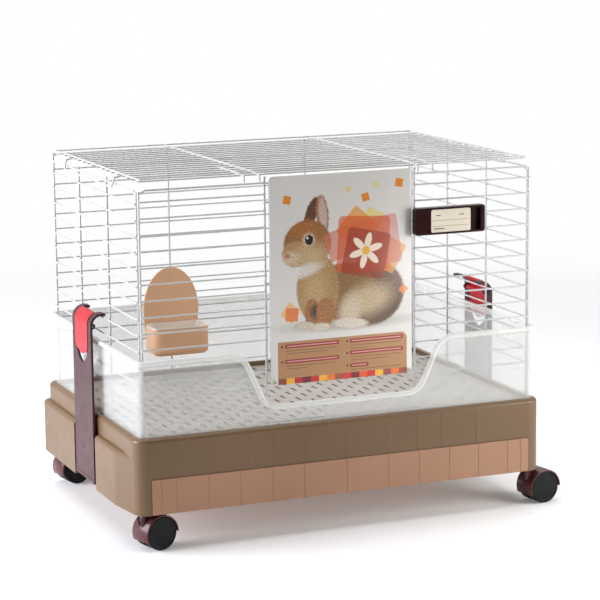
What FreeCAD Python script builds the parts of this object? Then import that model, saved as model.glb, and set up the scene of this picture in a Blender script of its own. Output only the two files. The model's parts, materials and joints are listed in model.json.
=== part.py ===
import FreeCAD, Part
import math
import os

# Wire rabbit cage on a plastic base with a pull-out litter drawer and four casters.
# Millimetres. X runs along the front, -Y is the front, +Z is up.
# Origin: the middle of the cage on the floor that the casters stand on.

V = FreeCAD.Vector
UP = V(0, 0, 1)

# ---- driving dimensions -------------------------------------------------------
BASE_X, BASE_Y = 331.0, 230.0        # half width and half depth of the base
BASE_BOTTOM, BASE_TOP = 56.0, 170.0
BASE_CORNER = 22.0
WALL = 3.0
SKIRT_X, SKIRT_TOP = 339.0, 141.0    # side skirts stand out of the base
SKIRT_CORNER, SKIRT_BEND = 12.0, 80.0
TAPER_START, TAPER_END, TAPER_X = -150.0, -210.0, 330.7   # front end: the skirt dies into the body
CHANNEL_HALF = 54.0                  # half width of the strap channel in a skirt

LEDGE_BOTTOM, LEDGE_TOP = 155.0, 158.0   # ledge that the slotted floor lies on
RECESS_X, RECESS_Y = 318.0, 217.0
BAND_GROOVES_X = (0.0, 67.0, 117.0, 158.0, 217.0)   # faint lines on the front, mirrored

DRAWER_X, DRAWER_TOP = 308.0, 109.5
TRAY_X, TRAY_BACK = 285.0, 212.0
GROOVES_X = (0.0, 69.0, 120.0, 171.0, 221.0, 271.0, 294.0)   # drawer front, mirrored

GUARD_X, GUARD_Y = 322.0, 221.0      # outer faces of the splash guard's walls
GUARD_WALL, GUARD_TOP = 2.5, 284.0
RIM_OUT, RIM_DEEP = 5.0, 6.5
DIP_HALF, DIP_BOTTOM = 104.0, 201.5  # the low step under the door
DIP_LOW_R, DIP_HIGH_R, DIP_SLOPE = 28.0, 36.0, 66.0

PITCH, FIRST_WIRE = 24.0, 227.0      # horizontal wires of the front and back
WIRES_UP = 13
FRAME_R, WIRE_R = 1.6, 1.3
FRONT_Y, POST_X, DOOR_X = 214.0, 313.5, 120.5
RAIL_Z = 539.5
SIDE_X, SIDE_DROP = 315.0, 3.5       # side panels' wires sit this much lower
SIDE_POSTS = (-207.5, -70.0, 70.0, 207.5)
HOOK_ROWS = (6, 10)                  # side wires whose ends hook round the corner posts

LID_Z, LID_X = 543.4, 309.0
LID_HOOKS = (-129.3, 124.2)          # clear of the door card's swing and the back posts
LID_WIRE_R = 1.4

CARD_LEFT, CARD_RIGHT = -116.0, 113.0
CARD_BOTTOM, CARD_TOP = 230.0, 541.0
CARD_Y, CARD_T = -219.7, 1.2

LATCH_LEFT, LATCH_RIGHT = 113.8, 230.8
LATCH_BOTTOM, LATCH_TOP = 439.5, 481.0
LATCH_BACK, LATCH_FRONT = -221.5, -234.0
GROOVE_LEFT, GROOVE_WIDE = 97.0, 11.5    # finger groove, measured from the plate's left end
LABEL_IN, LABEL_WIDE, LABEL_HIGH = 25.5, 66.5, 35.0
LATCH_POSTS_IN, LATCH_POST_UP, KEEPER_GAP = (32.0, 86.0), 20.2, 6.5

STRAP_OUT, STRAP_T, STRAP_HALF = 339.0, 3.5, 46.5
STRAP_PIVOT_X, STRAP_PIVOT_Z, STRAP_KNUCKLE_R = 335.6, 66.0, 4.2
STRAP_BEND_Z, STRAP_BEND_R = 307.0, 19.0
LIP_X, LIP_Z, LIP_R, LIP_FLAT = 316.8, 323.5, 2.4, 321.6   # bead that snaps over a side wire
PIN_R, PIN_HALF, TAB_PIN_R = 2.0, 57.0, 1.5
WINDOW_HALF, WINDOW_TIP, WINDOW_SHOULDER = 31.5, 244.0, 272.0
TAB_PIVOT_X, TAB_PIVOT_Z = 332.3, 305.0
TAB_TIP, TAB_STEP, TAB_END = 258.0, 262.5, 273.0   # lower edge: middle, beside it, at the ends

BOWL_X, BOWL_HALF = -122.0, 48.0
BOWL_FRONT, BOWL_BACK = 152.0, 208.3
BOWL_BOTTOM, BOWL_TOP = 206.0, 250.0
PLATE_T, EGG_TOP, EGG_MID, EGG_HALF = 3.5, 343.5, 272.0, 47.5

SCREW_X, SCREW_Z = -134.0, 311.0     # the bowl's clamping screw

STEM_X, STEM_Y, TRAIL = 317.0, 210.0, 22.0
STEM_R, STEM_BOTTOM, AXLE_R = 4.5, 43.0, 2.5
BOSS_R, BUSH_R, BUSH_TOP = 9.0, 6.0, 88.0
WHEEL_R, HOOD_R, DRUM_HALF = 25.0, 28.3, 20.0
CASTERS = {                          # corner: (x side, y side, heading in degrees)
    "front_left": (-1, -1, 15.0),
    "front_right": (1, -1, 8.0),
    "rear_left": (-1, 1, 9.0),
    "rear_right": (1, 1, 9.0),
}


# ---- helpers ------------------------------------------------------------------
def box(x0, x1, y0, y1, z0, z1):
    return Part.makeBox(x1 - x0, y1 - y0, z1 - z0, V(x0, y0, z0))


def rod(start, end, radius):
    run = V(*end) - V(*start)
    return Part.makeCylinder(radius, run.Length, V(*start), run)


def fuse(shapes):
    return shapes[0].multiFuse(shapes[1:]).removeSplitter()


def rounded_prism(hx, hy, r, z0, z1, cx=0.0, cy=0.0):
    """Upright prism with a rounded-rectangle outline."""
    body = box(cx - hx, cx + hx, cy - hy, cy + hy, z0, z1)
    uprights = [e for e in body.Edges if abs(e.tangentAt(e.FirstParameter).z) > 0.9]
    return body.makeFillet(r, uprights)


def bent_rod(points, bend, radius):
    """Round wire along a bent path: straight runs joined by arcs of the same bend radius."""
    points = [V(*p) for p in points]
    edges, start = [], points[0]
    for before, corner, after in zip(points, points[1:], points[2:]):
        u, v = (before - corner).normalize(), (after - corner).normalize()
        half = u.getAngle(v) / 2
        cut = bend / math.tan(half)
        middle = corner + (u + v).normalize() * (bend / math.sin(half) - bend)
        first, last = corner + u * cut, corner + v * cut
        if start.distanceToPoint(first) > 1e-3:
            edges.append(Part.makeLine(start, first))
        edges.append(Part.Arc(first, middle, last).toShape())
        start = last
    if start.distanceToPoint(points[-1]) > 1e-3:
        edges.append(Part.makeLine(start, points[-1]))
    path = Part.Wire(edges)
    aim = edges[0].tangentAt(edges[0].FirstParameter)
    section = Part.Wire(Part.makeCircle(radius, points[0], aim))
    return path.makePipeShell([section], True, True)


def mirror_x(shape):
    return shape.mirror(V(0, 0, 0), V(1, 0, 0))


def mirrored(values):
    """The values with their opposites, zero once."""
    return sorted({side * v for v in values for side in (-1, 1)})


def outline_face(edges):
    return Part.Face(Part.Wire(edges))


def top_outer_edges(shape, z):
    """Edges of the outer outline at height z."""
    return [e for e in shape.Edges if all(abs(v.Z - z) < 1e-4 for v in e.Vertexes)]


def export(name, shape):
    if not shape.isValid():
        print("INVALID", name)
    shape.exportStep(os.path.join("parts", name + ".step"))
    b = shape.BoundBox
    print("%-26s solids %2d  vol %9.0f  x %7.1f %7.1f  y %7.1f %7.1f  z %6.1f %6.1f" % (
        name, len(shape.Solids), shape.Volume, b.XMin, b.XMax, b.YMin, b.YMax, b.ZMin, b.ZMax))


# ---- base ---------------------------------------------------------------------
def v_groove(x, y, z0, z1, depth=0.7, half=1.1):
    """Upright V cutter for a face that looks to -Y at this y."""
    a, b, c = V(x - half, y - 0.05, z0), V(x + half, y - 0.05, z0), V(x, y + depth, z0)
    return Part.Face(Part.makePolygon([a, b, c, a])).extrude(V(0, 0, z1 - z0))


def skirt_block():
    """Both side skirts as one block; each tapers into the body towards the front."""
    half = [V(SKIRT_X, BASE_Y, BASE_BOTTOM), V(SKIRT_X, TAPER_START, BASE_BOTTOM),
            V(TAPER_X, TAPER_END, BASE_BOTTOM)]
    outline = half + [V(-p.x, p.y, p.z) for p in reversed(half)]
    block = Part.Face(Part.makePolygon(outline + outline[:1])).extrude(UP * (SKIRT_TOP - BASE_BOTTOM))
    for y, radius in ((BASE_Y, SKIRT_CORNER), (TAPER_START, SKIRT_BEND)):
        uprights = [e for e in block.Edges if all(abs(v.Y - y) < 1e-4 for v in e.Vertexes)
                    and abs(e.tangentAt(e.FirstParameter).z) > 0.9]
        block = block.makeFillet(radius, uprights)
    return block.makeFillet(7.0, top_outer_edges(block, SKIRT_TOP))


def base_housing():
    body = rounded_prism(BASE_X, BASE_Y, BASE_CORNER, BASE_BOTTOM, BASE_TOP)
    body = body.makeFillet(6.0, top_outer_edges(body, BASE_TOP))
    skirt = skirt_block()
    for side in (-1, 1):
        x0, x1 = sorted((side * BASE_X, side * (SKIRT_X + 5)))
        skirt = skirt.cut(box(x0, x1, -CHANNEL_HALF, CHANNEL_HALF, BASE_BOTTOM - 1, BASE_TOP))
    body = body.fuse(skirt)

    cuts = [
        rounded_prism(BASE_X - WALL, BASE_Y - WALL, BASE_CORNER - WALL,
                      BASE_BOTTOM + WALL, LEDGE_BOTTOM),
        rounded_prism(BASE_X - WALL, BASE_Y - WALL, BASE_CORNER - WALL, LEDGE_BOTTOM,
                      BASE_TOP - WALL).cut(
            rounded_prism(RECESS_X + WALL, RECESS_Y + WALL, 12.0, LEDGE_BOTTOM, BASE_TOP)),
        rounded_prism(300.0, 199.0, 6.0, LEDGE_BOTTOM - 1, LEDGE_TOP + 1),
        rounded_prism(RECESS_X, RECESS_Y, 9.0, LEDGE_TOP, BASE_TOP + 1),
        box(-262, 262, -180, 180, BASE_BOTTOM - 1, BASE_BOTTOM + WALL + 1),
        box(-DRAWER_X - 0.7, DRAWER_X + 0.7, -BASE_Y - 5, -BASE_Y + WALL + 0.4,
            BASE_BOTTOM - 1, DRAWER_TOP + 0.7),
    ]
    for sx in (-1, 1):
        for sy in (-1, 1):
            x0, x1 = sorted((sx * (BASE_X - WALL - 1), sx * (SKIRT_X - WALL)))
            y0, y1 = sorted((sy * (CHANNEL_HALF + WALL), sy * 150.0))
            cuts.append(box(x0, x1, y0, y1, BASE_BOTTOM + WALL, SKIRT_TOP - 8))
    for side in (-1, 1):
        x = side * STRAP_PIVOT_X
        cuts.append(rod((x, -PIN_HALF, STRAP_PIVOT_Z), (x, PIN_HALF, STRAP_PIVOT_Z), PIN_R))
    for x in mirrored(BAND_GROOVES_X):
        cuts.append(v_groove(x, -BASE_Y, DRAWER_TOP, BASE_TOP - 9, 0.4, 0.8))
    body = body.cut(Part.makeCompound(cuts))

    bosses, bores = [], []
    for sx, sy, _ in CASTERS.values():
        x, y = sx * STEM_X, sy * STEM_Y
        bosses.append(rod((x, y, BASE_BOTTOM), (x, y, BUSH_TOP), BOSS_R))
        bores.append(rod((x, y, BASE_BOTTOM - 1), (x, y, BUSH_TOP + 1), BUSH_R))
    for side in (-1, 1):
        x0, x1 = sorted((side * (TRAY_X + 1.0), side * (TRAY_X + 4.0)))
        bosses.append(box(x0, x1, -195, 215, BASE_BOTTOM, 74.0))
    body = body.multiFuse(bosses)
    return body.cut(Part.makeCompound(bores)).removeSplitter()


def floor_grid():
    """Slotted standing floor: rounded slots in staggered rows."""
    z0, thick = LEDGE_TOP, 5.0
    slot_long, slot_wide, step_x, step_y = 22.0, 5.0, 18.0, 21.5
    edge_x, edge_y = RECESS_X - 0.6, RECESS_Y - 0.6
    wires = [Part.makePolygon([V(-edge_x, -edge_y, z0), V(edge_x, -edge_y, z0),
                               V(edge_x, edge_y, z0), V(-edge_x, edge_y, z0),
                               V(-edge_x, -edge_y, z0)])]
    straight = (slot_long - slot_wide) / 2
    half = slot_wide / 2
    for row in range(-9, 10):
        for col in range(-17, 18):
            if (row + col) % 2:
                continue
            x, y = col * step_x, row * step_y
            if abs(y) > edge_y - 18:
                continue
            a, b = V(x - half, y - straight, z0), V(x - half, y + straight, z0)
            c, d = V(x + half, y + straight, z0), V(x + half, y - straight, z0)
            wires.append(Part.Wire([
                Part.makeLine(a, b), Part.Arc(b, V(x, y + slot_long / 2, z0), c).toShape(),
                Part.makeLine(c, d), Part.Arc(d, V(x, y - slot_long / 2, z0), a).toShape()]))
    plate = Part.makeFace(wires, "Part::FaceMakerBullseye").extrude(UP * thick)
    trim = rounded_prism(edge_x, edge_y, 8.0, z0 - 1, z0 + thick + 1)
    return plate.common(trim)


def litter_drawer():
    front = -BASE_Y - 1.5
    fascia = box(-DRAWER_X, DRAWER_X, front, -BASE_Y + WALL, BASE_BOTTOM + 0.5, DRAWER_TOP)
    edges = [e for e in fascia.Edges if all(abs(v.Y - front) < 1e-4 for v in e.Vertexes)]
    fascia = fascia.makeFillet(1.0, edges)
    half_y = (TRAY_BACK + BASE_Y - WALL) / 2
    mid_y = (TRAY_BACK - BASE_Y + WALL) / 2
    tray = rounded_prism(TRAY_X, half_y, 8.0, BASE_BOTTOM + WALL + 0.6, DRAWER_TOP - 3, 0, mid_y)
    inner = rounded_prism(TRAY_X - 2.5, half_y - 2.5, 6.0, BASE_BOTTOM + WALL + 3.1,
                          DRAWER_TOP, 0, mid_y)
    body = fascia.fuse(tray).cut(inner)
    cuts = [v_groove(x, front, BASE_BOTTOM, DRAWER_TOP + 1) for x in mirrored(GROOVES_X)]
    return body.cut(Part.makeCompound(cuts)).removeSplitter()


# ---- splash guard ----------------------------------------------------------------
def guard_profile(drop):
    """Front outline of the guard, lowered by drop; concentric arcs keep the rim even."""
    half_w = GUARD_X + RIM_OUT + 2
    low_r, high_r = DIP_LOW_R + drop, DIP_HIGH_R - drop
    low_z, high_z = DIP_BOTTOM + DIP_LOW_R, GUARD_TOP - DIP_HIGH_R
    a = math.radians(DIP_SLOPE)
    rise = GUARD_TOP - DIP_BOTTOM - (DIP_LOW_R + DIP_HIGH_R) * (1 - math.cos(a))
    span = (DIP_LOW_R + DIP_HIGH_R) * math.sin(a) + rise / math.tan(a)
    low_x, high_x = DIP_HALF, DIP_HALF + span

    def on_low(angle):
        return V(low_x + low_r * math.sin(angle), 0, low_z - low_r * math.cos(angle))

    def on_high(angle):
        return V(high_x - high_r * math.sin(angle), 0, high_z + high_r * math.cos(angle))

    right = [on_low(0), on_low(a / 2), on_low(a), on_high(a), on_high(a / 2), on_high(0)]
    left = [V(-p.x, 0, p.z) for p in right]
    top_r, top_l = V(half_w, 0, GUARD_TOP - drop), V(-half_w, 0, GUARD_TOP - drop)
    foot_r, foot_l = V(half_w, 0, BASE_TOP), V(-half_w, 0, BASE_TOP)
    return outline_face([
        Part.makeLine(foot_l, foot_r), Part.makeLine(foot_r, top_r),
        Part.makeLine(top_r, right[5]), Part.Arc(right[5], right[4], right[3]).toShape(),
        Part.makeLine(right[3], right[2]), Part.Arc(right[2], right[1], right[0]).toShape(),
        Part.makeLine(right[0], left[0]), Part.Arc(left[0], left[1], left[2]).toShape(),
        Part.makeLine(left[2], left[3]), Part.Arc(left[3], left[4], left[5]).toShape(),
        Part.makeLine(left[5], top_l), Part.makeLine(top_l, foot_l)])


def splash_guard():
    wall_in, corner = GUARD_WALL, 10.0
    outer = rounded_prism(GUARD_X, GUARD_Y, corner, BASE_TOP, GUARD_TOP)
    rim = rounded_prism(GUARD_X + RIM_OUT, GUARD_Y + RIM_OUT, corner + RIM_OUT,
                        GUARD_TOP - RIM_DEEP, GUARD_TOP)
    inner = rounded_prism(GUARD_X - wall_in, GUARD_Y - wall_in, corner - wall_in,
                          BASE_TOP - 1, GUARD_TOP + 1)
    front_y = -GUARD_Y - RIM_OUT
    depth = RIM_OUT + wall_in
    through = V(0, depth + 40, 0)
    body = outer.fuse(rim)
    profile = guard_profile(0).extrude(through)
    profile.translate(V(0, front_y - 20, 0))
    middle = box(-DIP_HALF - 90, DIP_HALF + 90, front_y - 10, front_y + depth + 12,
                 BASE_TOP, GUARD_TOP + 1)
    keep = body.common(middle).common(profile)
    body = body.cut(middle).fuse(keep)
    deep = V(0, depth, 0)
    band = guard_profile(0).extrude(deep).cut(guard_profile(RIM_DEEP).extrude(deep))
    band.translate(V(0, front_y, 0))
    band = band.common(box(-DIP_HALF - 85, DIP_HALF + 85, front_y, front_y + depth, 190, GUARD_TOP))
    return body.fuse(band).cut(inner).removeSplitter()


# ---- wire panels -------------------------------------------------------------------
def wire_levels():
    return [FIRST_WIRE + PITCH * k for k in range(WIRES_UP)]


def front_section(x_post, x_far):
    """Wires between a corner post and a door post; the posts reach the base."""
    posts = [rod((x, -FRONT_Y, BASE_TOP + 0.4), (x, -FRONT_Y, RAIL_Z - FRAME_R - 0.3), FRAME_R)
             for x in (x_post, x_far)]
    x0, x1 = sorted((x_post, x_far))
    rows = [rod((x0 - 1.0, -FRONT_Y - 2.5, z), (x1 + 1.0, -FRONT_Y - 2.5, z), WIRE_R)
            for z in wire_levels()]
    return fuse(posts + rows)


def front_top_rail():
    """Rail across the whole front, with a short spigot down onto each post."""
    bar = rod((-POST_X - 1.5, -FRONT_Y - 2.6, RAIL_Z), (POST_X + 1.5, -FRONT_Y - 2.6, RAIL_Z), FRAME_R)
    stubs = [rod((x, -FRONT_Y, RAIL_Z - FRAME_R - 0.3), (x, -FRONT_Y, RAIL_Z + 0.4), FRAME_R)
             for x in (-POST_X, -DOOR_X, DOOR_X, POST_X)]
    return fuse([bar] + stubs)


def front_bottom_rail():
    """Lower rail of the doorway, between the two door posts."""
    z, y = BASE_TOP + 4.0, -FRONT_Y
    inset = DOOR_X - FRAME_R
    return rod((-inset, y, z), (inset, y, z), WIRE_R)


def back_panel():
    posts = [rod((x, FRONT_Y, BASE_TOP + 0.4), (x, FRONT_Y, RAIL_Z), FRAME_R)
             for x in (-POST_X, -DOOR_X, DOOR_X, POST_X)]
    rows = [rod((-POST_X - 1.0, FRONT_Y + 2.5, z), (POST_X + 1.0, FRONT_Y + 2.5, z), WIRE_R)
            for z in wire_levels()]
    rail = rod((-POST_X - 1.5, FRONT_Y + 2.6, RAIL_Z), (POST_X + 1.5, FRONT_Y + 2.6, RAIL_Z), FRAME_R)
    return fuse(posts + rows + [rail])


def corner_hook(y_side, z):
    """End of a side wire curled round the neighbouring corner post, on the left side."""
    x_row, reach = -SIDE_X - 2.4, 3.9
    pts = [(x_row, y_side * 209.0, z), (x_row, y_side * (FRONT_Y + reach), z),
           (x_row + 2 * reach, y_side * (FRONT_Y + reach), z),
           (x_row + 2 * reach, y_side * (FRONT_Y - 0.5), z)]
    return bent_rod(pts, reach - 0.05, WIRE_R)


def left_panel():
    x_row = -SIDE_X - 2.4
    top = RAIL_Z - SIDE_DROP
    posts = [rod((-SIDE_X, y, BASE_TOP + 0.4), (-SIDE_X, y, top), FRAME_R) for y in SIDE_POSTS]
    rows = [rod((x_row, -209.0, z - SIDE_DROP), (x_row, 209.0, z - SIDE_DROP), WIRE_R)
            for z in wire_levels()]
    rail = rod((x_row - 0.1, -209.0, top), (x_row - 0.1, 209.0, top), FRAME_R)
    hooks = [corner_hook(side, wire_levels()[k] - SIDE_DROP) for k in HOOK_ROWS for side in (-1, 1)]
    return fuse(posts + rows + [rail] + hooks)


def back_curl(x, radius):
    """Open curl at the rear end of a lid wire, round the back rail."""
    y, r = FRONT_Y + 2.6, LID_Z - RAIL_Z
    pts = [(x, 200, LID_Z), (x, y + r, LID_Z), (x, y + r, RAIL_Z - r), (x, y - 0.2, RAIL_Z - r)]
    return bent_rod(pts, r - 0.05, radius)


def side_loop(side):
    """Fixed loop that drops outside a side panel and locates the closed lid."""
    x_in, x_out, y, z = side * (LID_X - 2), side * 322.6, 122.0, LID_Z - 20
    pts = [(x_in, -y, LID_Z), (x_out, -y, LID_Z), (x_out, -y, z), (x_out, y, z),
           (x_out, y, LID_Z), (x_in, y, LID_Z)]
    return bent_rod(pts, 4.0, LID_WIRE_R)


def top_panel():
    front, top = -FRONT_Y - 6.6, LID_Z + 2.6
    parts = [rod((-LID_X - 3, y, top), (LID_X + 3, y, top), WIRE_R)
             for y in [-204 + PITCH * k for k in range(18)]]
    for x in (-LID_X, LID_X):
        parts.append(rod((x, -211, LID_Z), (x, 201, LID_Z), LID_WIRE_R))
        parts.append(back_curl(x, LID_WIRE_R))
    for x in LID_HOOKS:
        parts.append(rod((x, -201, LID_Z), (x, 201, LID_Z), LID_WIRE_R))
        parts.append(back_curl(x, LID_WIRE_R))
        for x_hook, y_start in ((x, -200), (x + math.copysign(24.5, x), -110)):
            parts.append(bent_rod([(x_hook, y_start, LID_Z), (x_hook, front, LID_Z),
                                   (x_hook, front, RAIL_Z - 5)], 2.6, LID_WIRE_R))
    parts += [side_loop(-1), side_loop(1)]
    return fuse(parts)


# ---- door ----------------------------------------------------------------------------
def door_loop(z):
    """Wire that leaves the door's first upright and curls round the left door post."""
    reach = 3.9
    x, y = -DOOR_X, -FRONT_Y
    pts = [(-110.0, y - reach, z), (x - reach, y - reach, z), (x - reach, y + reach, z),
           (x + reach, y + reach, z), (x + reach, y - 0.2, z)]
    return bent_rod(pts, reach - 0.05, WIRE_R)


def door_frame():
    y_row, y_up = -FRONT_Y - 3.9, -FRONT_Y - 1.5
    uprights = [rod((x, y_up, 231.5), (x, y_up, 534.5), WIRE_R) for x in (-113.5, -38.0, 38.0, 109.5)]
    rows = [rod((-116.0, y_row, z), (111.5, y_row, z), WIRE_R)
            for z in [FIRST_WIRE + 5.5] + wire_levels()[1:] + [533.0]]
    loops = [door_loop(FIRST_WIRE + PITCH * k) for k in (1.5, 6.5, 11.5)]
    return fuse(uprights + rows + loops)


def door_card():
    """Printed card that covers the front of the door."""
    half_x, half_z = (CARD_RIGHT - CARD_LEFT) / 2, (CARD_TOP - CARD_BOTTOM) / 2
    body = rounded_prism(half_x, half_z, 6.0, 0, CARD_T)
    body.rotate(V(0, 0, 0), V(1, 0, 0), 90)
    body.translate(V((CARD_LEFT + CARD_RIGHT) / 2, CARD_Y, (CARD_TOP + CARD_BOTTOM) / 2))
    return body


def card_clips():
    """Wire eyes that hold the card's lower corners to the door."""
    clips = []
    for x in (CARD_LEFT + 5.0, CARD_RIGHT - 5.0):
        eye = Part.makeTorus(2.2, 0.7, V(x, CARD_Y - CARD_T - 0.75, CARD_BOTTOM + 4.0), V(0, 1, 0))
        clips.append(eye)
    return Part.makeCompound(clips)


# ---- name-plate latch -----------------------------------------------------------------
def plate_block(x0, x1, z0, z1, y_back, y_front, corner):
    body = rounded_prism((x1 - x0) / 2, (z1 - z0) / 2, corner, 0, y_back - y_front)
    body.rotate(V(0, 0, 0), V(1, 0, 0), 90)
    body.translate(V((x0 + x1) / 2, y_back, (z0 + z1) / 2))
    return body


def latch_plate():
    body = plate_block(LATCH_LEFT, LATCH_RIGHT, LATCH_BOTTOM, LATCH_TOP, LATCH_BACK, LATCH_FRONT, 5.0)
    edges = [e for e in body.Edges if all(abs(v.Y - LATCH_FRONT) < 1e-4 for v in e.Vertexes)]
    body = body.makeFillet(2.5, edges)
    groove = box(LATCH_LEFT + GROOVE_LEFT, LATCH_LEFT + GROOVE_LEFT + GROOVE_WIDE,
                 LATCH_FRONT - 1, LATCH_FRONT + 7, LATCH_BOTTOM + 4, LATCH_TOP - 4)
    x0 = LATCH_LEFT + LABEL_IN
    mid = (LATCH_BOTTOM + LATCH_TOP) / 2
    pocket = plate_block(x0, x0 + LABEL_WIDE, mid - LABEL_HIGH / 2, mid + LABEL_HIGH / 2,
                         LATCH_FRONT + 1.5, LATCH_FRONT - 1, 3.0)
    hollow = box(LATCH_LEFT + 2.5, LATCH_RIGHT - 22, LATCH_FRONT + 4, LATCH_BACK + 1,
                 LATCH_BOTTOM + 2.5, LATCH_TOP - 2.5)
    z = LATCH_BOTTOM + LATCH_POST_UP
    posts = [rod((LATCH_LEFT + x, LATCH_FRONT + 3.5, z), (LATCH_LEFT + x, LATCH_BACK + KEEPER_GAP, z), 3.0)
             for x in LATCH_POSTS_IN]
    return body.cut(groove).cut(pocket).cut(hollow).multiFuse(posts).removeSplitter()


def latch_label():
    x0, mid = LATCH_LEFT + LABEL_IN + 0.3, (LATCH_BOTTOM + LATCH_TOP) / 2
    return plate_block(x0, x0 + LABEL_WIDE - 0.6, mid - LABEL_HIGH / 2 + 0.3, mid + LABEL_HIGH / 2 - 0.3,
                       LATCH_FRONT + 1.5, LATCH_FRONT + 0.6, 2.7)


def latch_keeper():
    """Rear bar that holds the plate on the panel's wires from inside the cage."""
    x0, x1 = LATCH_LEFT + 27.0, LATCH_LEFT + 102.0
    y_front = LATCH_BACK + KEEPER_GAP
    return plate_block(x0, x1, LATCH_BOTTOM + 8, LATCH_TOP - 8, y_front + 5.0, y_front, 4.0)


# ---- side straps ------------------------------------------------------------------------
def strap_section(outer, inner, low, end_angle):
    """Section (x outward, z up) of a plate that rises and bends inward at the top."""
    cx, cz = STRAP_OUT - STRAP_BEND_R, STRAP_BEND_Z
    ro, ri = outer - cx, inner - cx
    a = math.radians(end_angle)

    def at(r, angle):
        return V(cx + r * math.cos(angle), 0, cz + r * math.sin(angle))

    return outline_face([
        Part.makeLine(V(outer, 0, low), at(ro, 0)),
        Part.Arc(at(ro, 0), at(ro, a / 2), at(ro, a)).toShape(),
        Part.makeLine(at(ro, a), at(ri, a)),
        Part.Arc(at(ri, a), at(ri, a / 2), at(ri, 0)).toShape(),
        Part.makeLine(at(ri, 0), V(inner, 0, low)), Part.makeLine(V(inner, 0, low), V(outer, 0, low))])


def across(face, y0, y1):
    solid = face.extrude(V(0, y1 - y0, 0))
    solid.translate(V(0, y0, 0))
    return solid


def strap_window():
    """Window between the arms: straight sides, closed below by a pointed U."""
    tip, shoulder, w = WINDOW_TIP, WINDOW_SHOULDER, WINDOW_HALF
    x = STRAP_OUT + 2
    edges = [
        Part.Arc(V(x, -w, shoulder), V(x, -w * 0.62, shoulder - 18), V(x, 0, tip)).toShape(),
        Part.Arc(V(x, 0, tip), V(x, w * 0.62, shoulder - 18), V(x, w, shoulder)).toShape(),
        Part.makeLine(V(x, w, shoulder), V(x, w, 340)),
        Part.makeLine(V(x, w, 340), V(x, -w, 340)),
        Part.makeLine(V(x, -w, 340), V(x, -w, shoulder))]
    return outline_face(edges).extrude(V(-60, 0, 0))


def strap_body():
    """Strap on the right side of the cage; the left one is its mirror image."""
    inner = STRAP_OUT - STRAP_T
    plate = across(strap_section(STRAP_OUT, inner, STRAP_PIVOT_Z, 96.0), -STRAP_HALF, STRAP_HALF)
    knuckle = rod((STRAP_PIVOT_X, -STRAP_HALF, STRAP_PIVOT_Z),
                  (STRAP_PIVOT_X, STRAP_HALF, STRAP_PIVOT_Z), STRAP_KNUCKLE_R)
    foot = box(STRAP_PIVOT_X, STRAP_OUT, -STRAP_HALF, STRAP_HALF, STRAP_PIVOT_Z - 4, STRAP_PIVOT_Z + 4)
    lip = rod((LIP_X, -STRAP_HALF, LIP_Z), (LIP_X, STRAP_HALF, LIP_Z), LIP_R)
    lip = lip.cut(box(LIP_X - 5, LIP_X + 5, -60, 60, LIP_FLAT - 4, LIP_FLAT))
    ears = [rod((TAB_PIVOT_X, y, TAB_PIVOT_Z), (TAB_PIVOT_X, y + 5, TAB_PIVOT_Z), 4.4)
            for y in (-WINDOW_HALF - 5, WINDOW_HALF)]
    body = plate.multiFuse([knuckle, foot, lip]).cut(strap_window()).multiFuse(ears)
    bores = [rod((STRAP_PIVOT_X, -60, STRAP_PIVOT_Z), (STRAP_PIVOT_X, 60, STRAP_PIVOT_Z), PIN_R + 0.06),
             rod((TAB_PIVOT_X, -45, TAB_PIVOT_Z), (TAB_PIVOT_X, 45, TAB_PIVOT_Z), TAB_PIN_R)]
    return body.cut(Part.makeCompound(bores)).removeSplitter()


def strap_pin():
    return rod((STRAP_PIVOT_X, -PIN_HALF, STRAP_PIVOT_Z), (STRAP_PIVOT_X, PIN_HALF, STRAP_PIVOT_Z), PIN_R)


def tab_pin():
    half = WINDOW_HALF + 5
    return rod((TAB_PIVOT_X, -half, TAB_PIVOT_Z), (TAB_PIVOT_X, half, TAB_PIVOT_Z), TAB_PIN_R)


def tab_body():
    """Coloured release tab in the strap's window, right side."""
    half, out = WINDOW_HALF - 0.6, STRAP_OUT + 0.8
    plate = across(strap_section(out, out - 3.4, TAB_TIP - 2, 70.0), -half, half)
    x, step, bulge, above = out + 2, half * 0.45, TAB_STEP + 2.5, 340
    shape = outline_face([
        Part.Arc(V(x, -half, TAB_END), V(x, -half * 0.8, bulge), V(x, -step, TAB_STEP)).toShape(),
        Part.makeLine(V(x, -step, TAB_STEP), V(x, 0, TAB_TIP)),
        Part.makeLine(V(x, 0, TAB_TIP), V(x, step, TAB_STEP)),
        Part.Arc(V(x, step, TAB_STEP), V(x, half * 0.8, bulge), V(x, half, TAB_END)).toShape(),
        Part.makeLine(V(x, half, TAB_END), V(x, half, above)),
        Part.makeLine(V(x, half, above), V(x, -half, above)),
        Part.makeLine(V(x, -half, above), V(x, -half, TAB_END))]).extrude(V(-60, 0, 0))
    knuckle = rod((TAB_PIVOT_X, -half + 2, TAB_PIVOT_Z), (TAB_PIVOT_X, half - 2, TAB_PIVOT_Z), 3.2)
    bridge = box(TAB_PIVOT_X, out - 2.5, -half + 2, half - 2, TAB_PIVOT_Z - 3, TAB_PIVOT_Z + 3)
    bore = rod((TAB_PIVOT_X, -45, TAB_PIVOT_Z), (TAB_PIVOT_X, 45, TAB_PIVOT_Z), TAB_PIN_R + 0.06)
    return plate.common(shape).multiFuse([knuckle, bridge]).cut(bore).removeSplitter()


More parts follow.
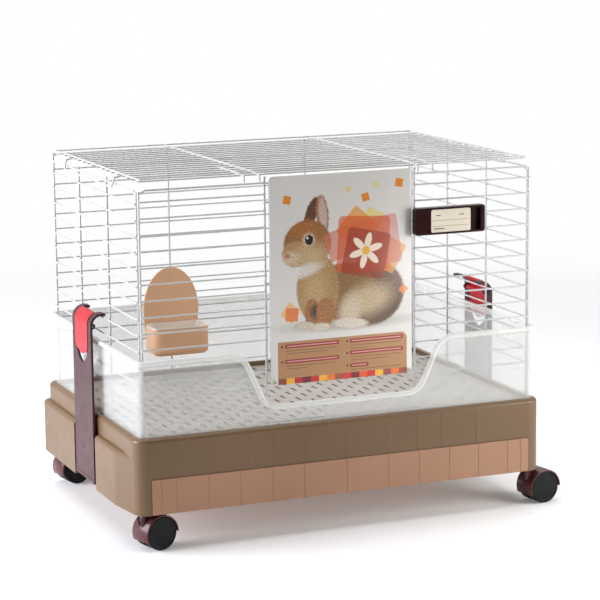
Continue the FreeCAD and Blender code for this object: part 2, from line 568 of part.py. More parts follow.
# ---- food bowl ---------------------------------------------------------------------------
def bowl_holder():
    mid_y, half_y = (BOWL_FRONT + BOWL_BACK) / 2, (BOWL_BACK - BOWL_FRONT) / 2
    outer = rounded_prism(BOWL_HALF, half_y, 14.0, BOWL_BOTTOM, BOWL_TOP, BOWL_X, mid_y)
    bottom = [e for e in outer.Edges if all(abs(v.Z - BOWL_BOTTOM) < 1e-4 for v in e.Vertexes)]
    outer = outer.makeFillet(9.0, bottom)
    inner = rounded_prism(BOWL_HALF - 2.5, half_y - 2.5, 11.5, BOWL_BOTTOM + 2.5, BOWL_TOP + 1, BOWL_X, mid_y)
    inner_low = [e for e in inner.Edges
                 if all(abs(v.Z - BOWL_BOTTOM - 2.5) < 1e-4 for v in e.Vertexes)]
    inner = inner.makeFillet(7.0, inner_low)
    low = BOWL_BOTTOM + 4
    egg = outline_face([
        Part.makeLine(V(-38, 0, low), V(38, 0, low)),
        Part.Arc(V(38, 0, low), V(44.5, 0, 240), V(EGG_HALF, 0, EGG_MID)).toShape(),
        half_ellipse(EGG_HALF, EGG_TOP - EGG_MID, EGG_MID),
        Part.Arc(V(-EGG_HALF, 0, EGG_MID), V(-44.5, 0, 240), V(-38, 0, low)).toShape()])
    plate = egg.extrude(V(0, PLATE_T, 0))
    plate.translate(V(BOWL_X, BOWL_BACK - 0.2, 0))
    screw = rod((SCREW_X, BOWL_BACK + PLATE_T - 0.5, SCREW_Z), (SCREW_X, FRONT_Y + 10.5, SCREW_Z), 2.5)
    return outer.cut(inner).multiFuse([plate, screw]).removeSplitter()


def half_ellipse(a, b, z_mid):
    """Upper half of a tall ellipse in the XZ plane, from side to side."""
    curve = Part.Ellipse(V(0, 0, z_mid + b), V(a, 0, z_mid), V(0, 0, z_mid))
    return Part.ArcOfEllipse(curve, -math.pi / 2, math.pi / 2).toShape()


def bowl_nut():
    """Knurled nut that clamps the bowl through the back panel."""
    y0 = FRONT_Y + 4.2
    knob = rod((SCREW_X, y0, SCREW_Z), (SCREW_X, y0 + 7, SCREW_Z), 13.0)
    cuts = [rod((SCREW_X + 14.6 * math.cos(a), y0 - 1, SCREW_Z + 14.6 * math.sin(a)),
                (SCREW_X + 14.6 * math.cos(a), y0 + 8, SCREW_Z + 14.6 * math.sin(a)), 3.0)
            for a in [math.radians(45 * k) for k in range(8)]]
    bore = rod((SCREW_X, y0 - 1, SCREW_Z), (SCREW_X, y0 + 8, SCREW_Z), 2.55)
    return knob.cut(Part.makeCompound(cuts + [bore]))


def bowl_liner():
    mid_y, half_y = (BOWL_FRONT + BOWL_BACK) / 2 - 0.2, (BOWL_BACK - BOWL_FRONT) / 2
    wall, gap = 0.8, 2.9
    outer = rounded_prism(BOWL_HALF - gap, half_y - gap - 0.2, 11.1, BOWL_BOTTOM + 5, BOWL_TOP + 0.5,
                          BOWL_X, mid_y)
    low = [e for e in outer.Edges if all(abs(v.Z - BOWL_BOTTOM - 5) < 1e-4 for v in e.Vertexes)]
    outer = outer.makeFillet(7.0, low)
    rim = rounded_prism(BOWL_HALF + 0.8, half_y - 0.5, 14.0, BOWL_TOP + 0.4, BOWL_TOP + 3.2,
                        BOWL_X, mid_y - 0.6)
    inner = rounded_prism(BOWL_HALF - gap - wall, half_y - gap - wall - 0.2, 10.3, BOWL_BOTTOM + 5 + wall,
                          BOWL_TOP + 5, BOWL_X, mid_y)
    low = [e for e in inner.Edges
           if all(abs(v.Z - BOWL_BOTTOM - 5 - wall) < 1e-4 for v in e.Vertexes)]
    inner = inner.makeFillet(6.2, low)
    return outer.fuse(rim).cut(inner).removeSplitter()


# ---- casters: built at the origin with the stem on Z, then turned and placed ------------
def drum(radius, half, x, z):
    return rod((x, -half, z), (x, half, z), radius)


def caster_hood():
    web = drum(HOOD_R, 3.5, TRAIL, WHEEL_R)
    shell = drum(HOOD_R, DRUM_HALF, TRAIL, WHEEL_R).cut(drum(WHEEL_R + 0.9, DRUM_HALF + 1, TRAIL, WHEEL_R))
    boss = rod((0, 0, 24), (0, 0, BASE_BOTTOM - 2.6), 8.0)
    bridge = box(0, TRAIL, -3.5, 3.5, 20, BASE_BOTTOM - 4)
    body = web.multiFuse([shell, boss, bridge])
    below = box(-60, 90, -40, 40, -20, 14.0)
    front_low = box(TRAIL + 5, 90, -40, 40, -20, WHEEL_R)
    cheek = drum(WHEEL_R + 0.9, 8.0, TRAIL, WHEEL_R).cut(drum(WHEEL_R + 2, 3.6, TRAIL, WHEEL_R))
    notch = Part.Face(Part.makePolygon([V(-40, -9, 62), V(-40, 9, 62), V(-40, 0, 38), V(-40, -9, 62)]))
    notch = notch.extrude(V(40, 0, 0)).cut(rod((0, 0, 0), (0, 0, 70), 8.0))
    axle_bore = drum(AXLE_R, 30, TRAIL, WHEEL_R)
    stem_bore = rod((0, 0, STEM_BOTTOM), (0, 0, 70), STEM_R)
    body = body.cut(Part.makeCompound([below, front_low])).cut(notch)
    body = body.cut(cheek).cut(axle_bore).cut(stem_bore)
    solids = sorted(body.removeSplitter().Solids, key=lambda s: s.Volume)
    return solids[-1]


def caster_stem():
    return rod((0, 0, STEM_BOTTOM), (0, 0, BUSH_TOP - 1), STEM_R)


def caster_axle():
    return drum(AXLE_R, DRUM_HALF - 2.5, TRAIL, WHEEL_R)


def caster_wheel(side):
    """One of the twin wheels: rounded tread, dished outer face, hub bore."""
    inner_y, outer_y = side * 4.1, side * (DRUM_HALF - 0.3)
    body = rod((TRAIL, inner_y, WHEEL_R), (TRAIL, outer_y, WHEEL_R), WHEEL_R)
    rounded = [e for e in body.Edges if isinstance(e.Curve, Part.Circle)]
    body = body.makeFillet(2.2, rounded)
    bore = rod((TRAIL, inner_y - side, WHEEL_R), (TRAIL, side * (DRUM_HALF - 2.4), WHEEL_R), AXLE_R + 0.06)
    return body.cut(bore)


def caster_bush():
    body = rod((0, 0, BASE_BOTTOM), (0, 0, BUSH_TOP), BUSH_R)
    flange = rod((0, 0, BASE_BOTTOM - 2.2), (0, 0, BASE_BOTTOM), 8.5)
    return body.fuse(flange).cut(rod((0, 0, 50), (0, 0, 100), STEM_R + 0.06))


def placed(shape, corner):
    sx, sy, heading = CASTERS[corner]
    shape = shape.copy()
    shape.rotate(V(0, 0, 0), UP, heading)
    shape.translate(V(sx * STEM_X, sy * STEM_Y, 0))
    return shape


# ---- export --------------------------------------------------------------------------------
def main():
    os.makedirs("parts", exist_ok=True)
    export("base_housing", base_housing())
    export("floor_grid", floor_grid())
    export("litter_drawer", litter_drawer())
    export("splash_guard", splash_guard())
    export("front_panel_left", front_section(-POST_X, -DOOR_X))
    export("front_panel_right", front_section(POST_X, DOOR_X))
    export("front_top_rail", front_top_rail())
    export("front_bottom_rail", front_bottom_rail())
    export("back_panel", back_panel())
    left = left_panel()
    export("left_panel", left)
    export("right_panel", mirror_x(left))
    export("top_panel", top_panel())
    export("door_frame", door_frame())
    export("door_card", door_card())
    export("card_clips", card_clips())
    export("latch_plate", latch_plate())
    export("latch_label", latch_label())
    export("latch_keeper", latch_keeper())
    right_parts = {"strap": strap_body(), "strap_pin": strap_pin(), "tab": tab_body(), "tab_pin": tab_pin()}
    for name, shape in right_parts.items():
        export(name + "_right", shape)
        export(name + "_left", mirror_x(shape))
    export("bowl_holder", bowl_holder())
    export("bowl_nut", bowl_nut())
    export("bowl_liner", bowl_liner())
    export("caster_bushes", Part.makeCompound([placed(caster_bush(), c) for c in CASTERS]))
    caster = {"hood": caster_hood(), "stem": caster_stem(), "axle": caster_axle(),
              "wheel_near": caster_wheel(-1), "wheel_far": caster_wheel(1)}
    for corner in CASTERS:
        for name, shape in caster.items():
            export("caster_%s_%s" % (name, corner), placed(shape, corner))


main()
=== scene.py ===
import json
import math

import bmesh
import bpy
from mathutils import Matrix, Vector


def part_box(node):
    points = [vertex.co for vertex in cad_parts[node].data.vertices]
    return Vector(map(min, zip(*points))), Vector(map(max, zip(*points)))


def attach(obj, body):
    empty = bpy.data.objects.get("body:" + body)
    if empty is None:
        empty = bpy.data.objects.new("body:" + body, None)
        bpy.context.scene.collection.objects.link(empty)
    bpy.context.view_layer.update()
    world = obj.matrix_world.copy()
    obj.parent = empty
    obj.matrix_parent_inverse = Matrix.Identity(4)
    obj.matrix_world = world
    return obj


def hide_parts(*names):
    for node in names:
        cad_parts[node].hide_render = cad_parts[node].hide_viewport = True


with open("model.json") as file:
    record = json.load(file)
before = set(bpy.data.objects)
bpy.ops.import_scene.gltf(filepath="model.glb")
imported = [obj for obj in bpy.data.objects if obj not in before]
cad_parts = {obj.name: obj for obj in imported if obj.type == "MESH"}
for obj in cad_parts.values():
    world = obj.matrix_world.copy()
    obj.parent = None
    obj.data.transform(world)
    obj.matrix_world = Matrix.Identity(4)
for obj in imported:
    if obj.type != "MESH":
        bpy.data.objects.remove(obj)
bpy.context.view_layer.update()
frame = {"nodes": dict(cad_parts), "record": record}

# Looks for the wire rabbit cage. Lengths in this file are millimetres until a piece is made.
MM = 0.001
SIDES = ("left", "right")
CORNERS = ("front_left", "front_right", "rear_left", "rear_right")


def span(node):
    """Lowest and highest corner of a CAD node, in millimetres."""
    low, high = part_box(node)
    return low / MM, high / MM


# ---- sizes read from the frame ----
GUARD_LOW, GUARD_HIGH = span("splash_guard")
CARD_LOW, CARD_HIGH = span("door_card")
PANEL_LOW, PANEL_HIGH = span("front_panel_left")
BACK_LOW, BACK_HIGH = span("back_panel")
RAIL_LOW, RAIL_HIGH = span("front_bottom_rail")

# ---- wires: radii and spacing as in the CAD ----
FRAME_R, WIRE_R, LID_WIRE_R = 1.6, 1.3, 1.4  # frame wires, panel wires, lid wires
PITCH, FIRST_WIRE, WIRES_UP = 24.0, 227.0, 13  # spacing, height of the lowest, how many
LAYER = 2.5  # from the middle of a post to the middle of a row on it
LEVELS = [FIRST_WIRE + PITCH * k for k in range(WIRES_UP)]
POST_X = -(PANEL_LOW.x + FRAME_R)
DOOR_POST_X = -(PANEL_HIGH.x - FRAME_R)
POST_Y = BACK_LOW.y + FRAME_R
RAIL_Z = BACK_HIGH.z - FRAME_R
ROW_Y = POST_Y + LAYER
HINGE_Y = ROW_Y + 0.1  # the back panel's thick top row, which the lid turns on
FOOT_Z = PANEL_LOW.z
FRAME_BEND = 9.0  # bend of the front frame's upper corners
SIDE_BEND = 7.0  # the same on the side panels
HOOK_R = 3.9  # bend of a row end or loop that goes round a post
BEAD_SPREAD, BEAD_HALF = 0.75, 1.25  # weld bead: how far past the wire, and half its height


# ---- mesh helpers ----
class Shape:
    """Vertices, faces and material indices collected for one piece, in millimetres."""

    def __init__(self):
        self.verts, self.faces, self.slots = [], [], []

    def add(self, verts, faces):
        start = len(self.verts)
        self.verts += [tuple(v) for v in verts]
        self.faces += [tuple(start + i for i in face) for face in faces]
        self.slots += [0] * len(faces)


def make_piece(name, shape, body, materials, replaced, sharp):
    """Turn a Shape into an object in metres that rides on a body in place of a CAD node."""
    mesh = bpy.data.meshes.new(name)
    mesh.from_pydata([tuple(c * MM for c in v) for v in shape.verts], [], shape.faces)
    for material in materials:
        mesh.materials.append(material)
    mesh.polygons.foreach_set("material_index", shape.slots)
    mesh.validate()
    mesh.shade_smooth()
    mesh.set_sharp_from_angle(angle=math.radians(sharp))
    obj = bpy.data.objects.new(name, mesh)
    bpy.context.scene.collection.objects.link(obj)
    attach(obj, body)
    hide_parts(replaced)


def ring_faces(rings, around):
    """Quads between consecutive rings of the same length, numbered ring by ring."""
    return [(r * around + i, r * around + (i + 1) % around,
             (r + 1) * around + (i + 1) % around, (r + 1) * around + i)
            for r in range(rings - 1) for i in range(around)]


SAME_POINT = 0.01  # points of a path closer than this count as one
DOME = 0.7  # height of a wire's domed end over its radius


def rounded_path(corners, bend, steps=5):
    """Points along straight runs joined by arcs of radius bend."""
    corners = [Vector(c) for c in corners]
    path = [corners[0]]
    for before, corner, after in zip(corners, corners[1:], corners[2:]):
        u, v = (before - corner).normalized(), (after - corner).normalized()
        half = u.angle(v) / 2
        centre = corner + (u + v).normalized() * (bend / math.sin(half))
        first, last = corner + u * (bend / math.tan(half)), corner + v * (bend / math.tan(half))
        a, b = first - centre, last - centre
        for k in range(steps + 1):
            path.append(centre + a.slerp(b, k / steps))
    path.append(corners[-1])
    return path


def tube(shape, path, radius, sides=12, closed=False):
    """Round wire along a path, with domed ends unless it is closed."""
    points = [Vector(path[0])]
    for p in path[1:]:
        if (Vector(p) - points[-1]).length > SAME_POINT:
            points.append(Vector(p))
    count = len(points)
    stations = []  # centre, direction, radius
    for k, p in enumerate(points):
        before = points[k - 1] if k or closed else p
        after = points[(k + 1) % count] if k < count - 1 or closed else p
        stations.append((p, (after - before).normalized(), radius))
    if not closed:
        dome = DOME * radius
        angles = [math.radians(a) for a in (78.0, 48.0, 20.0, 0.0)]
        head, along_head, _ = stations[0]
        tail, along_tail, _ = stations[-1]
        front = [(head + along_head * dome * (1 - math.sin(a)), along_head, radius * math.cos(a))
                 for a in angles]
        back = [(tail - along_tail * dome * (1 - math.sin(a)), along_tail, radius * math.cos(a))
                for a in reversed(angles)]
        stations = front + stations[1:-1] + back
    side = stations[0][1].orthogonal().normalized()
    rings = []
    for centre, along, r in stations:
        side = (side - along * side.dot(along)).normalized()
        other = along.cross(side)
        rings += [centre + (side * math.cos(a) + other * math.sin(a)) * r
                  for a in (2 * math.pi * i / sides for i in range(sides))]
    faces = ring_faces(len(stations), sides)
    if closed:
        last = (len(stations) - 1) * sides
        faces += [(last + i, last + (i + 1) % sides, (i + 1) % sides, i) for i in range(sides)]
    else:
        end = len(rings) - sides
        faces.append(tuple(reversed(range(sides))))
        faces.append(tuple(range(end, end + sides)))
    shape.add(rings, faces)


def blob(shape, centre, axes, radii, around=8, up=5):
    """Small ellipsoid with its three half lengths along three axes."""
    first, second, third = [axis * radius for axis, radius in zip(axes, radii)]
    verts = [centre + third]
    for j in range(1, up):
        b = math.pi * j / up
        for i in range(around):
            a = 2 * math.pi * i / around
            level = first * math.cos(a) + second * math.sin(a)
            verts.append(centre + level * math.sin(b) + third * math.cos(b))
    verts.append(centre - third)
    last = len(verts) - 1
    faces = [(0, 1 + i, 1 + (i + 1) % around) for i in range(around)]
    for j in range(up - 2):
        a, b = 1 + j * around, 1 + (j + 1) * around
        faces += [(a + i, b + i, b + (i + 1) % around, a + (i + 1) % around) for i in range(around)]
    low = 1 + (up - 2) * around
    faces += [(last, low + (i + 1) % around, low + i) for i in range(around)]
    shape.add(verts, faces)


def weld(shape, first, second, r_first, r_second):
    """Bead of coating where two straight wires cross and touch, at their closest points."""
    p, q = Vector(first[0]), Vector(second[0])
    u, v = Vector(first[1]) - p, Vector(second[1]) - q
    a, b, c, w = u.dot(u), u.dot(v), v.dot(v), p - q
    spread = a * c - b * b
    parallel = spread < 1e-6 * a * c
    if parallel:
        return
    s = (b * v.dot(w) - c * u.dot(w)) / spread
    t = (a * v.dot(w) - b * u.dot(w)) / spread
    if not (-0.01 <= s <= 1.01 and -0.01 <= t <= 1.01):  # past the end of a wire
        return
    at_first, at_second = p + u * s, q + v * t
    gap = at_second - at_first
    if gap.length > r_first + r_second or gap.length < 0.5:
        return
    middle = at_first + gap * (r_first / (r_first + r_second))
    n = gap.normalized()
    along = (u - n * u.dot(n)).normalized()
    size = (r_first + BEAD_SPREAD, r_second + BEAD_SPREAD, BEAD_HALF)
    blob(shape, middle, (along, n.cross(along), n), size)


def grille(shape, posts, rows, extra=()):
    """Straight posts and rows, welded where they cross, plus bent wires. Each wire is (path, radius)."""
    for path, radius in posts + rows + list(extra):
        tube(shape, path, radius)
    for first, r_first in posts:
        for second, r_second in rows:
            weld(shape, (first[0], first[-1]), (second[0], second[-1]), r_first, r_second)


def level_row(x0, x1, y, z, radius=WIRE_R):
    """Straight wire along X."""
    return [(x0, y, z), (x1, y, z)], radius


def upright(x, y, z0, z1, radius=FRAME_R):
    """Straight wire along Z."""
    return [(x, y, z0), (x, y, z1)], radius


# ---- material helpers ----
FLAT_SCALE = (MM, 1000.0, MM)  # turns metres into millimetres in XZ and flattens Y


def linear(colour):
    """sRGB 0-255 to the linear values that sockets take."""
    values = [c / 255 for c in colour]
    return tuple(c / 12.92 if c <= 0.04045 else ((c + 0.055) / 1.055) ** 2.4 for c in values) + (1.0,)


class Surface:
    """A material's node tree with short calls for the nodes used here."""

    def __init__(self, name):
        self.material = bpy.data.materials.new(name)
        self.material.use_nodes = True
        self.nodes = self.material.node_tree.nodes
        self.links = self.material.node_tree.links
        self.shader = self.nodes["Principled BSDF"]
        self.place = self.nodes.new("ShaderNodeTexCoord").outputs["Object"]

    def set(self, **values):
        for key, value in values.items():
            self.shader.inputs[key.replace("_", " ")].default_value = value
        return self

    def link(self, output, socket):
        self.links.new(output, socket)

    def feed(self, socket, output):
        """Link an output to one of the shader's own sockets."""
        self.link(output, self.shader.inputs[socket])

    def noise(self, scale, detail=3.0, rough=0.55, stretch=None, place=None):
        place = place or self.place
        if stretch:
            mapping = self.nodes.new("ShaderNodeMapping")
            mapping.inputs["Scale"].default_value = stretch
            self.link(place, mapping.inputs["Vector"])
            place = mapping.outputs["Vector"]
        node = self.nodes.new("ShaderNodeTexNoise")
        node.inputs["Scale"].default_value = scale
        node.inputs["Detail"].default_value = detail
        node.inputs["Roughness"].default_value = rough
        self.link(place, node.inputs["Vector"])
        return node.outputs["Fac"]

    def range(self, value, low, high, out_low=0.0, out_high=1.0, smooth=False):
        node = self.nodes.new("ShaderNodeMapRange")
        if smooth:
            node.interpolation_type = "SMOOTHSTEP"
        for key, number in (("From Min", low), ("From Max", high), ("To Min", out_low), ("To Max", out_high)):
            node.inputs[key].default_value = number
        self.link(value, node.inputs["Value"])
        return node.outputs["Result"]

    def clouds(self, scale, detail=3.0, low=0.0, high=1.0):
        """Noise with its usual values spread over a range."""
        return self.range(self.noise(scale, detail), 0.3, 0.7, low, high)

    def math(self, operation, a, b=None):
        node = self.nodes.new("ShaderNodeMath")
        node.operation = operation
        for socket, value in zip(node.inputs, (a, b)):
            if isinstance(value, (int, float)):
                socket.default_value = value
            elif value is not None:
                self.link(value, socket)
        return node.outputs[0]

    def mix(self, factor, a, b):
        """Mix two colours; each is an output or an sRGB triple."""
        node = self.nodes.new("ShaderNodeMix")
        node.data_type = "RGBA"
        for socket, value in ((node.inputs[0], factor), (node.inputs[6], a), (node.inputs[7], b)):
            if isinstance(value, (int, float)):
                socket.default_value = value
            elif isinstance(value, tuple):
                socket.default_value = linear(value)
            else:
                self.link(value, socket)
        return node.outputs[2]

    def vector(self, operation, a, b=None):
        node = self.nodes.new("ShaderNodeVectorMath")
        node.operation = operation
        self.link(a, node.inputs[0])
        if isinstance(b, tuple):
            node.inputs[1].default_value = b
        elif b is not None:
            self.link(b, node.inputs[1])
        return node.outputs["Value" if operation == "LENGTH" else "Vector"]

    def local(self, place, origin, turn=0.0, scale=(1.0, 1.0, 1.0)):
        """Coordinates measured from an origin, turned about Y and divided by a scale."""
        node = self.nodes.new("ShaderNodeMapping")
        node.vector_type = "TEXTURE"
        node.inputs["Location"].default_value = origin
        node.inputs["Rotation"].default_value = (0.0, math.radians(turn), 0.0)
        node.inputs["Scale"].default_value = scale
        self.link(place, node.inputs["Vector"])
        return node.outputs["Vector"]

    def ellipse(self, place, centre, radii, turn=0.0, soft=0.06):
        """1 inside an ellipse in the XZ plane, 0 outside, with a soft edge."""
        placed = self.local(place, (centre[0], 0.0, centre[1]), turn, (radii[0], 1.0, radii[1]))
        return self.range(self.vector("LENGTH", placed), 1 - soft, 1 + soft, 1.0, 0.0, True)

    def panel(self, place, centre, half, turn=0.0, corner=0.3, soft=0.25):
        """1 inside a rounded rectangle in the XZ plane, 0 outside."""
        placed = self.vector("ABSOLUTE", self.local(place, (centre[0], 0.0, centre[1]), turn))
        past = self.vector("SUBTRACT", placed, (half[0] - corner, 1.0, half[1] - corner))
        past = self.vector("LENGTH", self.vector("MAXIMUM", past, (0.0, 0.0, 0.0)))
        return self.range(past, corner - soft, corner + soft, 1.0, 0.0)

    def bump(self, height, depth, strength=1.0):
        node = self.nodes.new("ShaderNodeBump")
        node.inputs["Strength"].default_value = strength
        node.inputs["Distance"].default_value = depth
        self.link(height, node.inputs["Height"])
        return node.outputs["Normal"]


def moulded(name, dark, light, roughness=(0.38, 0.5), gloss=0.45, grain=0.00004, grain_scale=1400.0):
    """Injection-moulded plastic: slow colour drift, uneven sheen, spark-eroded grain."""
    s = Surface(name)
    s.feed("Base Color", s.mix(s.clouds(7.0, 2.0), dark, light))
    s.feed("Roughness", s.clouds(60.0, 3.0, *roughness))
    s.feed("Normal", s.bump(s.noise(grain_scale, 1.0), grain, 0.3))
    s.set(Specular_IOR_Level=gloss)
    return s.material


def coated_wire():
    """White dipped coating on steel wire, with slight orange peel."""
    s = Surface("wire_white")
    s.feed("Base Color", s.mix(s.clouds(35.0, 3.0), (190, 192, 191), (204, 205, 203)))
    s.feed("Roughness", s.clouds(240.0, 2.0, 0.2, 0.34))
    s.feed("Normal", s.bump(s.noise(420.0, 2.0), 0.00004, 0.4))
    s.set(Coat_Weight=0.35, Coat_Roughness=0.12)
    return s.material


def frosted_guard(name, dark, light, cover):
    """Milky translucent polypropylene; cover is the range of what one surface hides."""
    s = Surface(name)
    s.feed("Base Color", s.mix(s.clouds(5.0, 1.0), dark, light))
    s.feed("Roughness", s.clouds(18.0, 2.0, 0.34, 0.38))
    s.feed("Alpha", s.clouds(4.0, 1.0, *cover))
    s.set(Specular_IOR_Level=0.3)
    return s.material


def metal(name, colour, roughness, streaks=(1.0, 1.0, 1.0), metallic=1.0):
    """Brushed metal: the same streaks darken the colour, change the sheen and raise the surface."""
    s = Surface(name)
    brushed = s.noise(260.0, 2.0, stretch=streaks)
    darker = tuple(c * 0.9 for c in colour)
    s.feed("Base Color", s.mix(s.range(brushed, 0.3, 0.7), darker, colour))
    s.feed("Roughness", s.range(brushed, 0.3, 0.7, roughness * 0.8, roughness * 1.3))
    s.feed("Normal", s.bump(brushed, 0.00002, 0.3))
    s.set(Metallic=metallic)
    return s.material


# ---- printed card: millimetres to the right of and above its lower left corner ----
RABBIT_COAT = (  # colour, centre, half lengths, turn, edge softness; painted in this order
    ((112, 80, 52), (160, 128), (56, 50), 0, 0.05),  # rump
    ((150, 112, 70), (118, 132), (52, 44), 0, 0.05),  # body
    ((92, 64, 42), (186, 112), (28, 30), 20, 0.5),  # shaded hindquarter
    ((212, 188, 150), (158, 118), (36, 22), -14, 0.6),  # pale flank
    ((226, 208, 178), (128, 104), (16, 24), 20, 0.6),
    ((184, 144, 94), (76, 140), (34, 52), 0, 0.05),  # chest
    ((206, 172, 122), (72, 138), (18, 34), 8, 0.8),
    ((172, 112, 58), (66, 104), (12, 22), 0, 0.1),  # front legs
    ((62, 38, 24), (72, 106), (8, 10), 0, 0.6),
    ((178, 118, 60), (88, 104), (15, 22), 0, 0.1),
    ((226, 212, 186), (54, 86), (15, 6), 0, 0.2),  # paws
    ((232, 220, 198), (80, 82), (17, 6), 0, 0.2),
    ((236, 226, 208), (128, 84), (28, 8), 4, 0.2),
    ((96, 58, 36), (66, 252), (9, 27), 20, 0.1),  # far ear
    ((176, 122, 76), (84, 250), (10, 30), -5, 0.08),  # near ear
    ((216, 190, 180), (85, 251), (6.5, 25), -5, 0.25),
    ((158, 108, 60), (60, 208), (38, 36), 0, 0.05),  # head
    ((190, 148, 98), (40, 194), (21, 19), 0, 0.1),
    ((178, 110, 50), (50, 232), (26, 13), 12, 0.7),
    ((214, 184, 138), (66, 190), (26, 17), -10, 0.8),
    ((240, 230, 214), (54, 168), (28, 9), -16, 0.5),  # ruff under the chin
    ((222, 200, 164), (33, 188), (14, 10), 0, 0.5),  # muzzle
    ((196, 128, 112), (27.5, 192), (4.5, 3.2), 0, 0.3),
    ((226, 204, 166), (62, 214), (10, 10), 0, 0.35),  # pale ring round the eye
    ((30, 26, 28), (62.5, 214), (6.5, 7.5), 0, 0.12),
    ((238, 238, 240), (60, 217), (1.7, 1.9), 0, 0.4),
)
RABBIT_OUTLINE = (0, 1, 5, 7, 9, 10, 11, 12, 13, 14, 16, 17)  # the coat rows that form the silhouette

SQUARES = (  # colour, centre, half side, turn, cover
    ((228, 208, 118), (165, 238), 15, 24, 0.8),
    ((232, 156, 52), (140, 226), 25, 42, 0.85),
    ((206, 120, 92), (112, 205), 22, -18, 0.7),
    ((228, 150, 60), (188, 186), 24, 30, 0.75),
    ((204, 112, 96), (172, 204), 37, -8, 0.6),
    ((214, 92, 46), (150, 202), 42, 3, 0.75),
    ((150, 54, 38), (154, 188), 35, 12, 0.7),
    ((228, 140, 50), (28, 275), 6, 12, 1.0),
    ((228, 140, 50), (153.5, 272), 6, -14, 1.0),
    ((228, 140, 50), (208.6, 290.5), 6.2, 10, 1.0),
    ((228, 212, 132), (126, 285), 4.2, 16, 0.9),
    ((228, 212, 132), (171, 290), 4.2, 8, 0.9),
    ((236, 176, 92), (32, 107), 12, 38, 0.8),
    ((226, 112, 44), (34, 104), 10, 4, 0.85),
    ((232, 134, 52), (215, 129), 6, 40, 0.8),
)
PANEL_BARS = (  # left end, right end, height of the middle
    (22.6, 109.0, 57.0), (22.6, 109.0, 34.0),
    (127.0, 214.0, 57.0), (127.0, 214.0, 39.0), (127.0, 157.0, 19.5),
)
PANEL_LINES = (  # the same, for the thin lines under the bars
    (24.0, 106.0, 50.0), (24.0, 92.0, 46.0), (24.0, 104.0, 27.0), (24.0, 60.0, 23.0),
    (128.0, 211.0, 50.0), (128.0, 156.0, 45.5), (128.0, 212.0, 32.0), (128.0, 190.0, 27.5),
    (128.0, 212.0, 13.0),
)
PANEL_DOTS = ((17.8, 57), (17.8, 34), (122.5, 57), (122.5, 39), (122.5, 19.5))
PANEL_TAN, BAR_RED, BAR_PALE, LINE_BROWN, DOT_BROWN = (
    (178, 130, 84), (152, 34, 36), (214, 160, 148), (134, 92, 56), (60, 32, 24))
STRIP_COLOURS = (  # from left to right along the foot of the card
    (142, 66, 40), (236, 176, 36), (184, 32, 36), (112, 20, 32),
    (196, 36, 34), (238, 178, 36), (232, 120, 36), (160, 76, 54),
    (214, 48, 38), (122, 24, 34), (226, 84, 36), (204, 40, 34),
    (238, 180, 44), (156, 70, 60), (230, 118, 38), (152, 72, 44),
)
STRIP_TOP, PANEL_TOP, PANEL_LEFT, PANEL_RIGHT = 9.0, 64.0, 11.0, 220.5
FLOWER, PETALS, PETAL_REACH = (154.0, 192.0), 6, 15
WAVER = (7.0, 0.0, 7.0)  # how far the outlines of the fur wander


